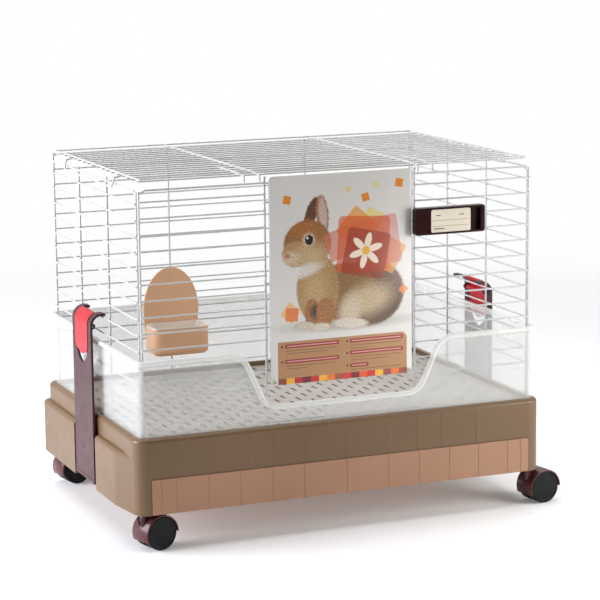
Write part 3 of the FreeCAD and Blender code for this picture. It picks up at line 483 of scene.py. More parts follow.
def card_print():
    """Display card of generic artwork: a rabbit, coloured squares with a flower, and ruled panels."""
    s = Surface("card_print")
    flat = s.local(s.place, tuple(CARD_LOW * MM), 0.0, FLAT_SCALE)
    waves = s.nodes.new("ShaderNodeTexNoise")
    waves.inputs["Scale"].default_value = 0.42
    waves.inputs["Detail"].default_value = 3.0
    s.link(flat, waves.inputs["Vector"])
    centred = s.vector("SUBTRACT", waves.outputs["Color"], (0.5, 0.5, 0.5))
    furry = s.vector("ADD", flat, s.vector("MULTIPLY", centred, WAVER))

    colour = s.mix(s.clouds(3.0, 0.0), (224, 220, 213), (229, 225, 218))
    shadow = s.math("MULTIPLY", s.ellipse(flat, (122, 84), (96, 9), 0, 0.6), 0.55)
    colour = s.mix(shadow, colour, (150, 142, 136))
    coat, outline = (150, 112, 70), None
    for k, (tint, centre, radii, turn, soft) in enumerate(RABBIT_COAT):
        mask = s.ellipse(furry, centre, radii, turn, soft)
        coat = s.mix(mask, coat, tint)
        if k in RABBIT_OUTLINE:
            outline = s.math("MAXIMUM", outline, mask) if outline else mask
    hairs = s.noise(0.5, 4.0, 0.7, (1.6, 1.0, 0.7), flat)
    coat = s.mix(s.range(hairs, 0.36, 0.58, 0.5, 0.0), coat, (70, 46, 30))
    coat = s.mix(s.range(hairs, 0.52, 0.72, 0.0, 0.4), coat, (240, 218, 180))
    colour = s.mix(outline, colour, coat)
    # The pupil and its glint again, on top of the fur and without its waver.
    eye = s.ellipse(flat, (62.5, 214), (6.0, 7.0), 0, 0.12)
    colour = s.mix(eye, colour, (28, 25, 28))
    colour = s.mix(s.ellipse(flat, (60, 217), (1.7, 1.9), 0, 0.3), colour, (236, 238, 242))

    for tint, centre, half, turn, cover in SQUARES:
        mask = s.panel(flat, centre, (half, half), turn, half * 0.16)
        colour = s.mix(s.math("MULTIPLY", mask, cover), colour, tint)
    for k in range(PETALS):
        degrees = 360 / PETALS * k + 15
        a = math.radians(degrees)
        petal = (FLOWER[0] + PETAL_REACH * math.cos(a), FLOWER[1] + PETAL_REACH * math.sin(a))
        colour = s.mix(s.ellipse(flat, petal, (5.2, 12.5), 90 - degrees, 0.08), colour, (246, 228, 206))
    colour = s.mix(s.ellipse(flat, FLOWER, (6.5, 6.5)), colour, (238, 184, 78))

    middle_x, half_x = (PANEL_LEFT + PANEL_RIGHT) / 2, (PANEL_RIGHT - PANEL_LEFT) / 2
    rounded = s.panel(flat, (middle_x, 22.0), (half_x, PANEL_TOP - 22.0), 0, 10.0)
    square_left = s.panel(flat, (middle_x - 30, 34.0), (half_x - 30, PANEL_TOP - 34.0))
    for mask in (rounded, square_left):
        colour = s.mix(mask, colour, PANEL_TAN)
    for x0, x1, z in PANEL_BARS:
        middle = ((x0 + x1) / 2, z)
        colour = s.mix(s.panel(flat, middle, ((x1 - x0) / 2, 3.0)), colour, BAR_RED)
        colour = s.mix(s.panel(flat, middle, ((x1 - x0) / 2 - 3, 0.8)), colour, BAR_PALE)
    for x0, x1, z in PANEL_LINES:
        colour = s.mix(s.panel(flat, ((x0 + x1) / 2, z), ((x1 - x0) / 2, 0.6)), colour, LINE_BROWN)
    for centre in PANEL_DOTS:
        colour = s.mix(s.ellipse(flat, centre, (1.6, 1.6), 0, 0.2), colour, DOT_BROWN)

    split = s.nodes.new("ShaderNodeSeparateXYZ")
    s.link(flat, split.inputs[0])
    ramp = s.nodes.new("ShaderNodeValToRGB")
    ramp.color_ramp.interpolation = "CONSTANT"
    stops = ramp.color_ramp.elements
    while len(stops) < len(STRIP_COLOURS):
        stops.new(0.5)
    for k, tint in enumerate(STRIP_COLOURS):
        stops[k].position = k / len(STRIP_COLOURS)
    for k, tint in enumerate(STRIP_COLOURS):
        stops[k].color = linear(tint)
    s.link(s.range(split.outputs["X"], PANEL_LEFT, PANEL_RIGHT), ramp.inputs["Fac"])
    strip = s.panel(flat, (middle_x, STRIP_TOP / 2), (half_x, STRIP_TOP / 2))
    colour = s.mix(strip, colour, ramp.outputs["Color"])
    s.feed("Base Color", colour)
    s.feed("Roughness", s.clouds(90.0, 2.0, 0.33, 0.37))
    s.feed("Normal", s.bump(s.noise(600.0, 1.0), 0.00002, 0.2))
    s.set(Coat_Weight=0.15, Coat_Roughness=0.3)
    return s.material


def ruled_label():
    """Cream paper with thin ruled lines."""
    s = Surface("label_paper")
    low, high = span("latch_label")
    flat = s.local(s.place, tuple(low * MM), 0.0, FLAT_SCALE)
    wide, tall = high.x - low.x, high.z - low.z
    colour = s.mix(s.clouds(30.0, 2.0), (226, 214, 194), (234, 223, 204))
    pale_ink, dark_ink = (176, 120, 104), (92, 56, 48)
    strokes = [(wide / 2, tall * z, wide / 2 - 3, 0.35, pale_ink) for z in (0.27, 0.52)]
    strokes += [(wide * x + 3, tall * 0.74, 4.0, 0.7, dark_ink) for x in (0.13, 0.72)]
    strokes.append((wide * 0.2, tall * 0.16, 9.0, 0.7, dark_ink))
    for x, z, half_wide, half_tall, ink in strokes:
        colour = s.mix(s.panel(flat, (x, z), (half_wide, half_tall), 0, 0.1, 0.1), colour, ink)
    s.feed("Base Color", colour)
    s.feed("Roughness", s.clouds(300.0, 2.0, 0.55, 0.7))
    s.feed("Normal", s.bump(s.noise(900.0, 2.0), 0.00003, 0.4))
    return s.material


MATERIALS = {
    "base_brown": moulded("base_brown", (107, 79, 48), (115, 87, 55), (0.34, 0.42), 0.55),
    "drawer_tan": moulded("drawer_tan", (165, 122, 94), (172, 129, 101), (0.42, 0.52)),
    "floor_grey": moulded("floor_grey", (180, 172, 164), (190, 182, 174), (0.4, 0.5)),
    "guard_clear": frosted_guard("guard_milky", (222, 225, 221), (227, 229, 225), (0.29, 0.33)),
    "guard_rim": frosted_guard("guard_rim", (238, 240, 234), (242, 243, 238), (0.66, 0.72)),
    "wire_white": coated_wire(),
    "latch_maroon": moulded("latch_maroon", (40, 9, 13), (46, 12, 16), (0.12, 0.18), 0.3),
    "strap_plum": moulded("strap_plum", (68, 39, 43), (76, 45, 49), (0.34, 0.44), 0.2, 0.0),
    "tab_red": moulded("tab_red", (180, 32, 42), (192, 40, 50), (0.3, 0.4), 0.22, 0.0),
    "bowl_tan": moulded("bowl_tan", (224, 176, 137), (229, 183, 144), (0.34, 0.44)),
    "bush_nylon": moulded("bush_nylon", (232, 230, 222), (240, 238, 232)),
    "caster_plum": moulded("caster_plum", (76, 34, 38), (86, 42, 46), (0.22, 0.32), 0.35),
    "wheel_black": moulded("wheel_black", (14, 16, 16), (19, 21, 21), (0.45, 0.55), 0.2),
    "card_print": card_print(),
    "label_paper": ruled_label(),
    "bowl_steel": metal("bowl_steel", (244, 236, 226), 0.36, (0.02, 0.1, 0.1), 0.45),
    "pin_steel": metal("pin_steel", (176, 176, 178), 0.3, (1.0, 6.0, 1.0)),
    "dull_zinc": metal("dull_zinc", (104, 98, 96), 0.45),
}


def finish_cad_nodes():
    """Give every CAD node that still shows its own procedural finish."""
    for part in frame["record"]["subparts"]:
        mesh = frame["nodes"][part["node"]].data
        mesh.materials.clear()
        finish = "dull_zinc" if part["node"].startswith("caster_stem") else part["material_slot"]
        mesh.materials.append(MATERIALS[finish])


# ---- wire panels ----
ROW_PAST = 1.0  # how far a row runs past the middle of the last post
RAIL_STEP = 2.6  # how far the front top rail stands ahead of the posts


def wire_piece(name, shape, body="root"):
    """Coated wires in place of the CAD node of that name."""
    make_piece(name + "_wires", shape, body, [MATERIALS["wire_white"]], name, 60.0)


def front_section(name, x_corner, x_door):
    """Corner post, door post and the rows between them."""
    shape = Shape()
    posts = [upright(x_corner, -POST_Y, FOOT_Z, RAIL_Z - FRAME_BEND),
             upright(x_door, -POST_Y, FOOT_Z, PANEL_HIGH.z)]
    x0, x1 = sorted((x_corner, x_door))
    rows = [level_row(x0 - ROW_PAST, x1 + ROW_PAST, -ROW_Y, z) for z in LEVELS]
    grille(shape, posts, rows)
    wire_piece(name, shape)


def front_rails():
    """Top rail, bent down into the corner posts, and the doorway's lower rail."""
    shape = Shape()
    y, low, ahead = -POST_Y, RAIL_Z - FRAME_BEND - 4.0, -POST_Y - RAIL_STEP
    top = [(-POST_X, y, low), (-POST_X, ahead, RAIL_Z), (POST_X, ahead, RAIL_Z), (POST_X, y, low)]
    tube(shape, rounded_path(top, FRAME_BEND), FRAME_R)
    along, up, out = Vector((1, 0, 0)), Vector((0, 0, 1)), Vector((0, 1, 0))
    bead = (FRAME_R + BEAD_SPREAD, FRAME_R + BEAD_SPREAD, BEAD_HALF)
    for x in (-DOOR_POST_X, DOOR_POST_X):
        tube(shape, *upright(x, y, PANEL_HIGH.z - 0.5, RAIL_Z + 0.6))
        blob(shape, Vector((x, (y + ahead) / 2, RAIL_Z)), (along, up, out), bead)
    wire_piece("front_top_rail", shape)
    shape = Shape()
    z = (RAIL_LOW.z + RAIL_HIGH.z) / 2
    tube(shape, *level_row(-DOOR_POST_X, DOOR_POST_X, y, z))
    wire_piece("front_bottom_rail", shape)


def back_panel():
    """Four posts with rows right across, and a thicker top row that the lid turns on."""
    shape = Shape()
    posts = [upright(x, POST_Y, FOOT_Z, RAIL_Z) for x in (-POST_X, -DOOR_POST_X, DOOR_POST_X, POST_X)]
    rows = [level_row(-POST_X - ROW_PAST, POST_X + ROW_PAST, ROW_Y, z) for z in LEVELS]
    rows.append(level_row(-POST_X - 1.5, POST_X + 1.5, HINGE_Y, RAIL_Z, FRAME_R))
    grille(shape, posts, rows)
    wire_piece("back_panel", shape)


SIDE_POST_X, SIDE_ROW_X = 315.0, 317.4
SIDE_DROP = 3.5  # how far the side panels' wires lie below the others
SIDE_POSTS_Y = (-207.5, -70.0, 70.0, 207.5)
SIDE_ROW_END = 209.0
HOOK_ROWS = (6, 10)  # rows, counted from the lowest, whose ends hook round the posts


def side_panel(side):
    """Rows lie outside the posts; some row ends hook round the front and back panels' posts."""
    shape, sign = Shape(), -1 if side == "left" else 1
    top, row_x, post_x = RAIL_Z - SIDE_DROP, sign * SIDE_ROW_X, sign * SIDE_POST_X
    end = SIDE_POSTS_Y[-1]
    posts = [upright(post_x, y, FOOT_Z, top if abs(y) < end else top - SIDE_BEND) for y in SIDE_POSTS_Y]
    low = top - SIDE_BEND - 4
    frame_top = [(post_x, -end, low), (row_x, -end, top), (row_x, end, top), (post_x, end, low)]
    rows, hooks = [], [(rounded_path(frame_top, SIDE_BEND), FRAME_R)]
    for k, level in enumerate(LEVELS):
        z = level - SIDE_DROP
        if k in HOOK_ROWS:
            inner, past = row_x - sign * 2 * HOOK_R, POST_Y + HOOK_R
            ends = [[(row_x, e * 150, z), (row_x, e * past, z), (inner, e * past, z),
                     (inner, e * (POST_Y - 0.5), z)] for e in (-1, 1)]
            hooks += [(rounded_path(path, HOOK_R - 0.05), WIRE_R) for path in ends]
        rows.append(([(row_x, -SIDE_ROW_END, z), (row_x, SIDE_ROW_END, z)], WIRE_R))
    grille(shape, posts, rows, hooks)
    wire_piece(side + "_panel", shape)


# ---- lid ----
LID_Z, LID_X = 543.4, 309.0  # height of the rows, and where the outer cross wires lie
LID_TOP = LID_Z + 2.45  # height of the cross wires, on the rows; the CAD has them under
LID_ROWS, FIRST_ROW_Y = 18, -204
REAR_STEP = 2.6  # how far the rearmost row lies above the others
CROSS_FRONT, CROSS_REAR = -211, 190
LID_FRONT = -POST_Y - 6.6  # where the hooks turn down over the front top rail
LID_HOOKS = (-129.3, 124.2)  # the inner wire of each pair of hooks
HOOK_GAP = 24.5  # from there to the outer wire
LOOP_X, LOOP_Y, LOOP_DROP = 322.6, 122.0, 20.0  # the loops that locate the lid at its sides


def back_curl(x):
    """Three quarters of a turn round the back panel's top row."""
    r = LID_Z - RAIL_Z
    past, under = HINGE_Y + r, RAIL_Z - r
    corners = [(x, CROSS_REAR, LID_Z), (x, past, LID_Z), (x, past, under), (x, HINGE_Y - 0.2, under)]
    return rounded_path(corners, r - 0.05), LID_WIRE_R


def lid():
    """Cross wires lie on top of the rows and dip to the curls at the rear."""
    shape = Shape()
    heights = [LID_Z] * (LID_ROWS - 1) + [LID_Z + REAR_STEP]
    rows = [level_row(-LID_X - 3, LID_X + 3, FIRST_ROW_Y + PITCH * k, z) for k, z in enumerate(heights)]

    def cross_wire(x, y0, y1):
        return [(x, y0, LID_TOP), (x, y1, LID_TOP)], LID_WIRE_R

    cross = [cross_wire(x, CROSS_FRONT, CROSS_REAR) for x in (-LID_X, LID_X)]
    hooks = []
    for x in LID_HOOKS:
        outer = x + math.copysign(HOOK_GAP, x)
        cross += [cross_wire(x, CROSS_FRONT + 10, CROSS_REAR), cross_wire(outer, CROSS_FRONT + 11, -110)]
        for x_hook, start in ((x, -190), (outer, -150)):
            corners = [(x_hook, start, LID_TOP), (x_hook, LID_FRONT, LID_TOP),
                       (x_hook, LID_FRONT, RAIL_Z - 5)]
            hooks.append((rounded_path(corners, 2.6), LID_WIRE_R))
    for x in (-LID_X, LID_X) + LID_HOOKS:
        dip = [(x, CROSS_REAR - 3, LID_TOP), (x, CROSS_REAR + 1, LID_TOP),
               (x, CROSS_REAR + 8, LID_Z), (x, CROSS_REAR + 12, LID_Z)]
        hooks += [(rounded_path(dip, 3.0), LID_WIRE_R), back_curl(x)]
    for sign in (-1, 1):
        x_in, x_out, low = sign * (LID_X - 2), sign * LOOP_X, LID_Z - LOOP_DROP
        corners = [(x_in, -LOOP_Y, LID_Z), (x_out, -LOOP_Y, LID_Z), (x_out, -LOOP_Y, low),
                   (x_out, LOOP_Y, low), (x_out, LOOP_Y, LID_Z), (x_in, LOOP_Y, LID_Z)]
        hooks.append((rounded_path(corners, 4.0), LID_WIRE_R))
    grille(shape, cross, rows, hooks)
    wire_piece("top_panel", shape, "lid")


# ---- door ----
DOOR_UPRIGHTS = (-113.5, -38.0, 38.0, 109.5)
DOOR_ROW_ENDS = (-116.0, 111.5)
DOOR_FOOT, DOOR_TOP, DOOR_TOP_ROW = 231.5, 534.5, 533.0
DOOR_UP_Y, DOOR_ROW_Y = -POST_Y - 1.5, -POST_Y - HOOK_R
HINGE_LOOPS = (1.5, 6.5, 11.5)  # heights of the loops, in pitches above the lowest wire


def door():
    """Rows behind which the uprights stand, and three loops round the left door post."""
    shape = Shape()
    posts = [upright(x, DOOR_UP_Y, DOOR_FOOT, DOOR_TOP, WIRE_R) for x in DOOR_UPRIGHTS]
    heights = [LEVELS[0] + 5.5] + LEVELS[1:] + [DOOR_TOP_ROW]
    rows = [level_row(*DOOR_ROW_ENDS, DOOR_ROW_Y, z) for z in heights]
    loops = []
    x0, x1, y1 = -DOOR_POST_X - HOOK_R, -DOOR_POST_X + HOOK_R, -POST_Y + HOOK_R
    for k in HINGE_LOOPS:
        z = FIRST_WIRE + PITCH * k
        corners = [(-110.0, DOOR_ROW_Y, z), (x0, DOOR_ROW_Y, z), (x0, y1, z), (x1, y1, z),
                   (x1, -POST_Y - 0.2, z)]
        loops.append((rounded_path(corners, HOOK_R - 0.05), WIRE_R))
    grille(shape, posts, rows, loops)
    wire_piece("door_frame", shape, "door")


def door_card():
    """Printed card with softened edges and rounded corners."""
    corner, soft, steps = 6.0, 0.35, 8
    left, right = CARD_LOW.x + corner, CARD_HIGH.x - corner
    low, high = CARD_LOW.z + corner, CARD_HIGH.z - corner
    edges = ((soft, CARD_HIGH.y), (0.0, CARD_HIGH.y - soft), (0.0, CARD_LOW.y + soft), (soft, CARD_LOW.y))
    verts = []
    for inset, y in edges:
        for x, z, start in ((right, high, 0), (left, high, 90), (left, low, 180), (right, low, 270)):
            for k in range(steps + 1):
                a = math.radians(start + 90 * k / steps)
                verts.append((x + (corner - inset) * math.cos(a), y, z + (corner - inset) * math.sin(a)))
    rings = len(edges)
    around = len(verts) // rings
    shape = Shape()
    faces = ring_faces(rings, around)
    faces.append(tuple(reversed(range(around))))
    faces.append(tuple(range((rings - 1) * around, rings * around)))
    shape.add(verts, faces)
    make_piece("door_card_print", shape, "door", [MATERIALS["card_print"]], "door_card", 50.0)


def card_clips():
    """Small wire eyes on the card's lower corners."""
    shape = Shape()
    eye_r, eye_wire_r, points = 2.2, 0.7, 20
    for x in (CARD_LOW.x + 5.0, CARD_HIGH.x - 5.0):
        centre = Vector((x, CARD_LOW.y - 0.75, CARD_LOW.z + 4.0))
        angles = [2 * math.pi * k / points for k in range(points)]
        ring = [centre + Vector((eye_r * math.cos(a), 0, eye_r * math.sin(a))) for a in angles]
        tube(shape, ring, eye_wire_r, 8, closed=True)
    wire_piece("card_clips", shape, "door")


# ---- splash guard ----
GUARD_X, GUARD_Y, GUARD_CORNER, GUARD_WALL = 322.0, 221.0, 12.0, 2.5
DIP_HALF, DIP_BOTTOM = 104.0, 201.5  # the step under the door: half width and height
DIP_LOW_R, DIP_HIGH_R, DIP_SLOPE = 28.0, 36.0, math.radians(66.0)  # its bends and its slope
GUARD_RIM = (  # arc centre outward and up, radius, first angle, last angle
    (-1.3, -1.2, 1.2, 180, 90),  # inner top edge
    (3.2, -1.8, 1.8, 90, 0),  # outer top edge
    (3.6, -5.1, 1.4, 0, -90),  # lower edge of the flange
    (1.6, -8.1, 1.6, 90, 180),  # hollow where the flange meets the wall
)
RIM_STEPS = 4


def guard_section():
    """Rounded flange as (outward from the wall's outer face, up from the rim's top) pairs."""
    section = []
    for outward, up, radius, start, end in GUARD_RIM:
        for k in range(RIM_STEPS + 1):
            a = math.radians(start + (end - start) * k / RIM_STEPS)
            section.append((outward + radius * math.cos(a), up + radius * math.sin(a)))
    return section


def guard_path():
    """Top edge of the guard as (point, outward direction), anticlockwise from the middle of the front."""
    low_c, high_c = DIP_BOTTOM + DIP_LOW_R, GUARD_HIGH.z - DIP_HIGH_R
    rise = high_c - low_c + (DIP_LOW_R + DIP_HIGH_R) * math.cos(DIP_SLOPE)
    run = (DIP_LOW_R + DIP_HIGH_R) * math.sin(DIP_SLOPE) + rise / math.tan(DIP_SLOPE)
    front, steps, corner_steps, side_steps = Vector((0, -1, 0)), 14, 8, 6
    half = [(x, DIP_BOTTOM) for x in (0, 35, 70)]
    half += [(DIP_HALF + DIP_LOW_R * math.sin(a), low_c - DIP_LOW_R * math.cos(a))
             for a in (DIP_SLOPE * k / steps for k in range(steps + 1))]
    half += [(DIP_HALF + run - DIP_HIGH_R * math.sin(a), high_c + DIP_HIGH_R * math.cos(a))
             for a in (DIP_SLOPE * (1 - k / steps) for k in range(steps + 1))]
    half += [(x, GUARD_HIGH.z) for x in (220, 265, GUARD_X - GUARD_CORNER - 4)]
    path = [(Vector((x, -GUARD_Y, z)), front) for x, z in half]
    for cx, cy, start in ((1, -1, -90), (1, 1, 0), (-1, 1, 90), (-1, -1, 180)):
        centre = Vector((cx * (GUARD_X - GUARD_CORNER), cy * (GUARD_Y - GUARD_CORNER), GUARD_HIGH.z))
        for k in range(corner_steps + 1):
            a = math.radians(start + 90 * k / corner_steps)
            out = Vector((math.cos(a), math.sin(a), 0))
            path.append((centre + out * GUARD_CORNER, out))
        if start != 180:
            next_way = math.radians(start + 90)
            out = Vector((round(math.cos(next_way)), round(math.sin(next_way)), 0))
            side = Vector((-out.y, out.x, 0))
            length = 2 * ((GUARD_Y if out.x else GUARD_X) - GUARD_CORNER)
            begin = path[-1][0]
            path += [(begin + side * (length * k / side_steps), out) for k in range(1, side_steps)]
    path += [(Vector((-x, -GUARD_Y, z)), front) for x, z in reversed(half[1:])]
    return path


def guard():
    """The section swept round the guard's path, down to its foot; the wall is clearer than the rim."""
    shape = Shape()
    path, section, foot = guard_path(), guard_section(), GUARD_LOW.z
    count, around = len(path), len(section) + 2
    verts = []
    for k, (point, out) in enumerate(path):
        along = (path[(k + 1) % count][0] - path[k - 1][0]).normalized()
        up = out.cross(along).normalized()
        if up.z < 0:
            up = -up
        ring = [point + out * a + up * b for a, b in section]
        verts.append(Vector((point.x, point.y, foot)) - out * GUARD_WALL)
        verts += ring
        verts.append(Vector((point.x, point.y, foot)))
    faces = ring_faces(count, around)
    last = (count - 1) * around
    faces += [(last + i, last + (i + 1) % around, (i + 1) % around, i) for i in range(around)]
    shape.add(verts, faces)
    wall_strips = (0, around - 2, around - 1)  # inner face, outer face and foot
    shape.slots = [0 if k % around in wall_strips else 1 for k in range(len(faces))]
    make_piece("splash_guard_shell", shape, "root", [MATERIALS["guard_clear"], MATERIALS["guard_rim"]],
               "splash_guard", 50.0)


# ---- casters: built with the stem on Z and the trail towards +X, then turned and placed ----
WHEEL_R, HOOD_R, HOOD_INNER, DRUM_HALF = 25.0, 28.3, 25.9, 20.0
HOOD_END = 203.0  # how far the hood wraps, in degrees from the trailing side
WHEEL_INNER, WHEEL_OUTER = 4.1, 19.7  # a wheel's two faces, from the middle of the caster
INNER_ROUND, OUTER_ROUND = 1.6, 2.2  # rounding of the tread's two edges
FACE_R, FACE_DEPTH = 20.4, 1.0  # the dished face inside the rim
WEB_HALF, WEB_FOOT = 3.5, 4.0  # the hood's web between the wheels: half width, and how near the axle
BOSS_R, BOSS_FOOT = 6.6, 38.0  # the hood's boss round the stem
NOTCH_HALF, NOTCH_TOP, NOTCH_POINT = 9.6, 62.0, 37.0  # V notch in front of the stem
NOTCH_AHEAD, NOTCH_BACK = -40.0, -1.0


def caster_place(corner):
    """Stem position, trail length and the turn that puts a caster in its place."""
    stem_low, stem_high = span("caster_stem_" + corner)
    axle_low, axle_high = span("caster_axle_" + corner)
    stem, axle = (stem_low + stem_high) / 2, (axle_low + axle_high) / 2
    stem.z = axle.z = 0
    trail = axle - stem
    turn = Matrix.Rotation(math.atan2(trail.y, trail.x), 3, "Z")
    return stem, trail.length, turn


def lathe(shape, profile, centre, sides=64):
    """Solid of revolution about Y: profile of (radius, y) pairs that starts and ends on the axis."""
    ends = profile[0][1], profile[-1][1]
    inner = profile[1:-1]
    verts = [centre + Vector((r * math.cos(a), y, r * math.sin(a)))
             for r, y in inner for a in (2 * math.pi * k / sides for k in range(sides))]
    faces = ring_faces(len(inner), sides)
    first, last, base = len(verts), len(verts) + 1, (len(inner) - 1) * sides
    verts += [centre + Vector((0, y, 0)) for y in ends]
    faces += [(first, (k + 1) % sides, k) for k in range(sides)]
    faces += [(last, base + k, base + (k + 1) % sides) for k in range(sides)]
    shape.add(verts, faces)


def caster_wheel(which, corner):
    """Twin wheel with a rounded tread and a slightly domed face inside a raised rim."""
    sign = -1 if which == "near" else 1
    stem, trail, turn = caster_place(corner)
    angles = [math.radians(15 * k) for k in range(7)]
    tread = [(WHEEL_R - INNER_ROUND * (1 - math.sin(a)), WHEEL_INNER + INNER_ROUND * (1 - math.cos(a)))
             for a in angles]
    tread += [(WHEEL_R - OUTER_ROUND * (1 - math.cos(a)), WHEEL_OUTER - 2.6 + OUTER_ROUND * math.sin(a))
              for a in angles[:-1]]
    dome = WHEEL_OUTER - 0.1
    face = [(FACE_R + 1.2, WHEEL_OUTER - 0.5), (FACE_R + 0.6, WHEEL_OUTER - 0.9),
            (FACE_R, WHEEL_OUTER - FACE_DEPTH)]
    face += [(r, dome - 0.9 * (r / FACE_R) ** 2) for r in (16.0, 11.0, 6.0, 2.0)]
    hollow = WHEEL_INNER + 1.5
    back = [(0, WHEEL_INNER), (9.0, WHEEL_INNER), (10.0, hollow), (19.0, hollow), (20.0, WHEEL_INNER)]
    profile = back + tread + face + [(0, dome)]
    shape = Shape()
    lathe(shape, [(r, sign * y) for r, y in profile], Vector((trail, 0, WHEEL_R)))
    shape.verts = [tuple(turn @ Vector(v) + stem) for v in shape.verts]
    node = "caster_wheel_%s_%s" % (which, corner)
    body = "wheel_%s_%s" % (which, corner)
    make_piece(node + "_tyre", shape, body, [MATERIALS["wheel_black"]], node, 32.0)


def caster_hood(corner):
    """Fender over both wheels with a central web, and a V notch in front of the stem."""
    stem, trail, turn = caster_place(corner)
    top = span("caster_hood_" + corner)[1].z
    w, r, ri, edge_r = DRUM_HALF, HOOD_R, HOOD_INNER, 1.3
    section = [(-w, ri), (-w, r - edge_r), (-w + 0.4, r - 0.4), (-w + edge_r, r),
               (w - edge_r, r), (w - 0.4, r - 0.4), (w, r - edge_r), (w, ri),
               (WEB_HALF, ri), (WEB_HALF, WEB_FOOT), (-WEB_HALF, WEB_FOOT), (-WEB_HALF, ri)]
    shape, steps, around = Shape(), 56, len(section)
    verts = []
    for k in range(steps + 1):
        a = math.radians(HOOD_END * k / steps)
        verts += [(trail + d * math.cos(a), y, WHEEL_R + d * math.sin(a)) for y, d in section]
    faces = ring_faces(steps + 1, around)
    faces.append(tuple(reversed(range(around))))
    faces.append(tuple(range(steps * around, (steps + 1) * around)))
    shape.add(verts, faces)
    body = loose_mesh("hood", shape)
    boss, sides = Shape(), 40
    rings = [(BOSS_R, BOSS_FOOT), (BOSS_R, top - 0.6), (BOSS_R - 0.6, top)]
    boss_verts = [(d * math.cos(a), d * math.sin(a), z) for d, z in rings
                  for a in (2 * math.pi * k / sides for k in range(sides))]
    boss_faces = ring_faces(3, sides)
    boss_faces += [tuple(reversed(range(sides))), tuple(range(2 * sides, 3 * sides))]
    boss.add(boss_verts, boss_faces)
    notch = Shape()
    edge = [(-NOTCH_HALF, NOTCH_TOP), (0.0, NOTCH_POINT), (NOTCH_HALF, NOTCH_TOP)]
    notch.add([(x, y, z) for x in (NOTCH_AHEAD, NOTCH_BACK) for y, z in edge],
              [(0, 1, 2), (5, 4, 3), (0, 3, 4, 1), (1, 4, 5, 2), (2, 5, 3, 0)])
    combine(body, loose_mesh("boss", boss), "UNION")
    combine(body, loose_mesh("notch", notch), "DIFFERENCE")
    mesh = body.data
    mesh.transform(Matrix.Translation(stem * MM) @ turn.to_4x4())
    mesh.materials.append(MATERIALS["caster_plum"])
    mesh.shade_smooth()
    mesh.set_sharp_from_angle(angle=math.radians(32.0))
    body.name = mesh.name = "caster_hood_%s_shell" % corner
    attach(body, "caster_" + corner)
    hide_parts("caster_hood_" + corner)


def loose_mesh(name, shape):
    """Object in metres that rides on nothing yet."""
    mesh = bpy.data.meshes.new(name)
    mesh.from_pydata([tuple(c * MM for c in v) for v in shape.verts], [], shape.faces)
    work = bmesh.new()
    work.from_mesh(mesh)
    bmesh.ops.recalc_face_normals(work, faces=work.faces)
    work.to_mesh(mesh)
    work.free()
    obj = bpy.data.objects.new(name, mesh)
    bpy.context.scene.collection.objects.link(obj)
    return obj


def combine(obj, other, operation):
    """Boolean of two objects; the first keeps the result and the second goes."""
    modifier = obj.modifiers.new("cut", "BOOLEAN")
    modifier.object, modifier.operation, modifier.solver = other, operation, "EXACT"
    evaluated = obj.evaluated_get(bpy.context.evaluated_depsgraph_get())
    mesh = bpy.data.meshes.new_from_object(evaluated)
    obj.modifiers.remove(modifier)
    obj.data = mesh
    bpy.data.objects.remove(other)


# ---- stage, in metres ----
FLOOR_R, FADE_START, FADE_END = 5.0, 0.9, 2.6  # the floor's radius, and where it fades out
FILL_COLOUR, FILL_STRENGTH = (0.96, 0.98, 1.0, 1.0), 0.2
MIRRORED = 0.8  # how much of the white backdrop a glossy ray sees
FRONT_SHARE = 0.25  # what is left of the surroundings' light from the front (-Y)
FRONT_Y, REST_Y = -0.5, 0.1  # directions between which it goes up to the full light
WHITE = (1.0, 1.0, 1.0)
LIGHTS = (  # name, place, point aimed at, width and height, watts, colour
    ("key_left", (-2.4, 0.4, 0.9), (-0.3, 0, 0.25), (1.8, 1.4), 80.0, (0.96, 0.97, 1.07)),
    ("overhead", (0.0, 0.5, 2.4), (0, 0.1, 0), (3.2, 3.2), 60.0, WHITE),
    ("right_fill", (0.88, -0.8, 0.42), (0.36, -0.2, 0.12), (0.5, 0.5), 7.0, WHITE),
)
CAMERA_PLACE, CAMERA_LENS = (-1.3228, -3.2728, 0.9592), 136.4
CAMERA_YAW, CAMERA_PITCH, CAMERA_ROLL = 22.335, 10.37, -0.617  # degrees to the right, down and over


def stage():
    """Pale round floor that fades into the white surroundings."""
    mesh = bpy.data.meshes.new("floor")
    points = 64
    angles = [2 * math.pi * k / points for k in range(points)]
    rim = [(FLOOR_R * math.cos(a), FLOOR_R * math.sin(a), 0) for a in angles]
    mesh.from_pydata(rim, [], [tuple(range(points))])
    s = Surface("floor")
    s.feed("Base Color", s.mix(s.clouds(2.0), (248, 248, 248), (251, 251, 251)))
    distance = s.vector("LENGTH", s.place)
    s.feed("Alpha", s.range(distance, FADE_START, FADE_END, 1.0, 0.0, True))
    s.set(Roughness=0.75, Specular_IOR_Level=0.2, Emission_Color=WHITE + (1.0,), Emission_Strength=0.14)
    mesh.materials.append(s.material)
    obj = bpy.data.objects.new("floor", mesh)
    bpy.context.scene.collection.objects.link(obj)


def soft_light(name, place, aim, size, power, colour):
    """Rectangular area light that the camera doesn't see."""
    data = bpy.data.lights.new(name, "AREA")
    data.shape = "RECTANGLE"
    data.size, data.size_y = size
    data.energy = power
    data.color = colour
    obj = bpy.data.objects.new(name, data)
    obj.location = place
    obj.rotation_euler = (Vector(aim) - Vector(place)).to_track_quat("-Z", "Y").to_euler()
    obj.visible_camera = False
    bpy.context.scene.collection.objects.link(obj)


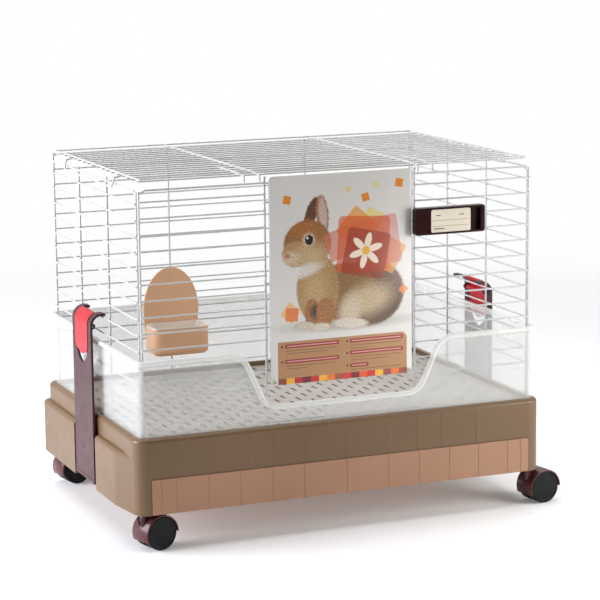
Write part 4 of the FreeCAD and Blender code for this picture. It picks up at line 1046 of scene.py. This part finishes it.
def studio():
    """White surroundings to the camera; a dimmer white, weaker from the front, that lights the object."""
    scene = bpy.context.scene
    scene.view_settings.view_transform = "Standard"
    world = bpy.data.worlds.new("studio")
    world.use_nodes = True
    nodes, links = world.node_tree.nodes, world.node_tree.links

    def maths(operation, *values):
        node = nodes.new("ShaderNodeMath")
        node.operation = operation
        for socket, value in zip(node.inputs, values):
            if isinstance(value, float):
                socket.default_value = value
            else:
                links.new(value, socket)
        return node.outputs[0]

    direction = nodes.new("ShaderNodeTexCoord")
    split = nodes.new("ShaderNodeSeparateXYZ")
    links.new(direction.outputs["Generated"], split.inputs["Vector"])
    share = nodes.new("ShaderNodeMapRange")
    limits = (("From Min", FRONT_Y), ("From Max", REST_Y), ("To Min", FRONT_SHARE), ("To Max", 1.0))
    for key, number in limits:
        share.inputs[key].default_value = number
    links.new(split.outputs["Y"], share.inputs["Value"])
    share = share.outputs["Result"]

    fill = nodes.new("ShaderNodeBackground")
    fill.inputs["Color"].default_value = FILL_COLOUR
    links.new(maths("MULTIPLY", share, FILL_STRENGTH), fill.inputs["Strength"])
    backdrop = nodes["Background"]
    backdrop.inputs["Color"].default_value = WHITE + (1.0,)
    backdrop.inputs["Strength"].default_value = 1.0

    rays = nodes.new("ShaderNodeLightPath")
    glossy = maths("MULTIPLY", rays.outputs["Is Glossy Ray"], share)
    mix = nodes.new("ShaderNodeMixShader")
    links.new(maths("MULTIPLY_ADD", glossy, MIRRORED, rays.outputs["Is Camera Ray"]), mix.inputs["Fac"])
    links.new(fill.outputs["Background"], mix.inputs[1])
    links.new(backdrop.outputs["Background"], mix.inputs[2])
    links.new(mix.outputs["Shader"], nodes["World Output"].inputs["Surface"])
    scene.world = world
    for light in LIGHTS:
        soft_light(*light)


def camera():
    """Turned right and tipped down from facing +Y, then rolled about its own line of sight."""
    yaw, pitch, roll = [math.radians(a) for a in (CAMERA_YAW, CAMERA_PITCH, CAMERA_ROLL)]
    forward = Vector((math.sin(yaw) * math.cos(pitch), math.cos(yaw) * math.cos(pitch), -math.sin(pitch)))
    level = Vector((math.cos(yaw), -math.sin(yaw), 0))
    plumb = level.cross(forward)
    right = level * math.cos(roll) + plumb * math.sin(roll)
    up = plumb * math.cos(roll) - level * math.sin(roll)
    data = bpy.data.cameras.new("camera")
    data.lens = CAMERA_LENS
    data.clip_start, data.clip_end = 0.1, 40.0
    obj = bpy.data.objects.new("camera", data)
    turn = Matrix((right, up, -forward)).transposed().to_4x4()
    obj.matrix_world = Matrix.Translation(CAMERA_PLACE) @ turn
    bpy.context.scene.collection.objects.link(obj)
    bpy.context.scene.camera = obj


finish_cad_nodes()
front_section("front_panel_left", -POST_X, -DOOR_POST_X)
front_section("front_panel_right", POST_X, DOOR_POST_X)
front_rails()
back_panel()
for side in SIDES:
    side_panel(side)
lid()
door()
door_card()
card_clips()
guard()
for corner in CORNERS:
    caster_hood(corner)
    for which in ("near", "far"):
        caster_wheel(which, corner)
stage()
studio()
camera()
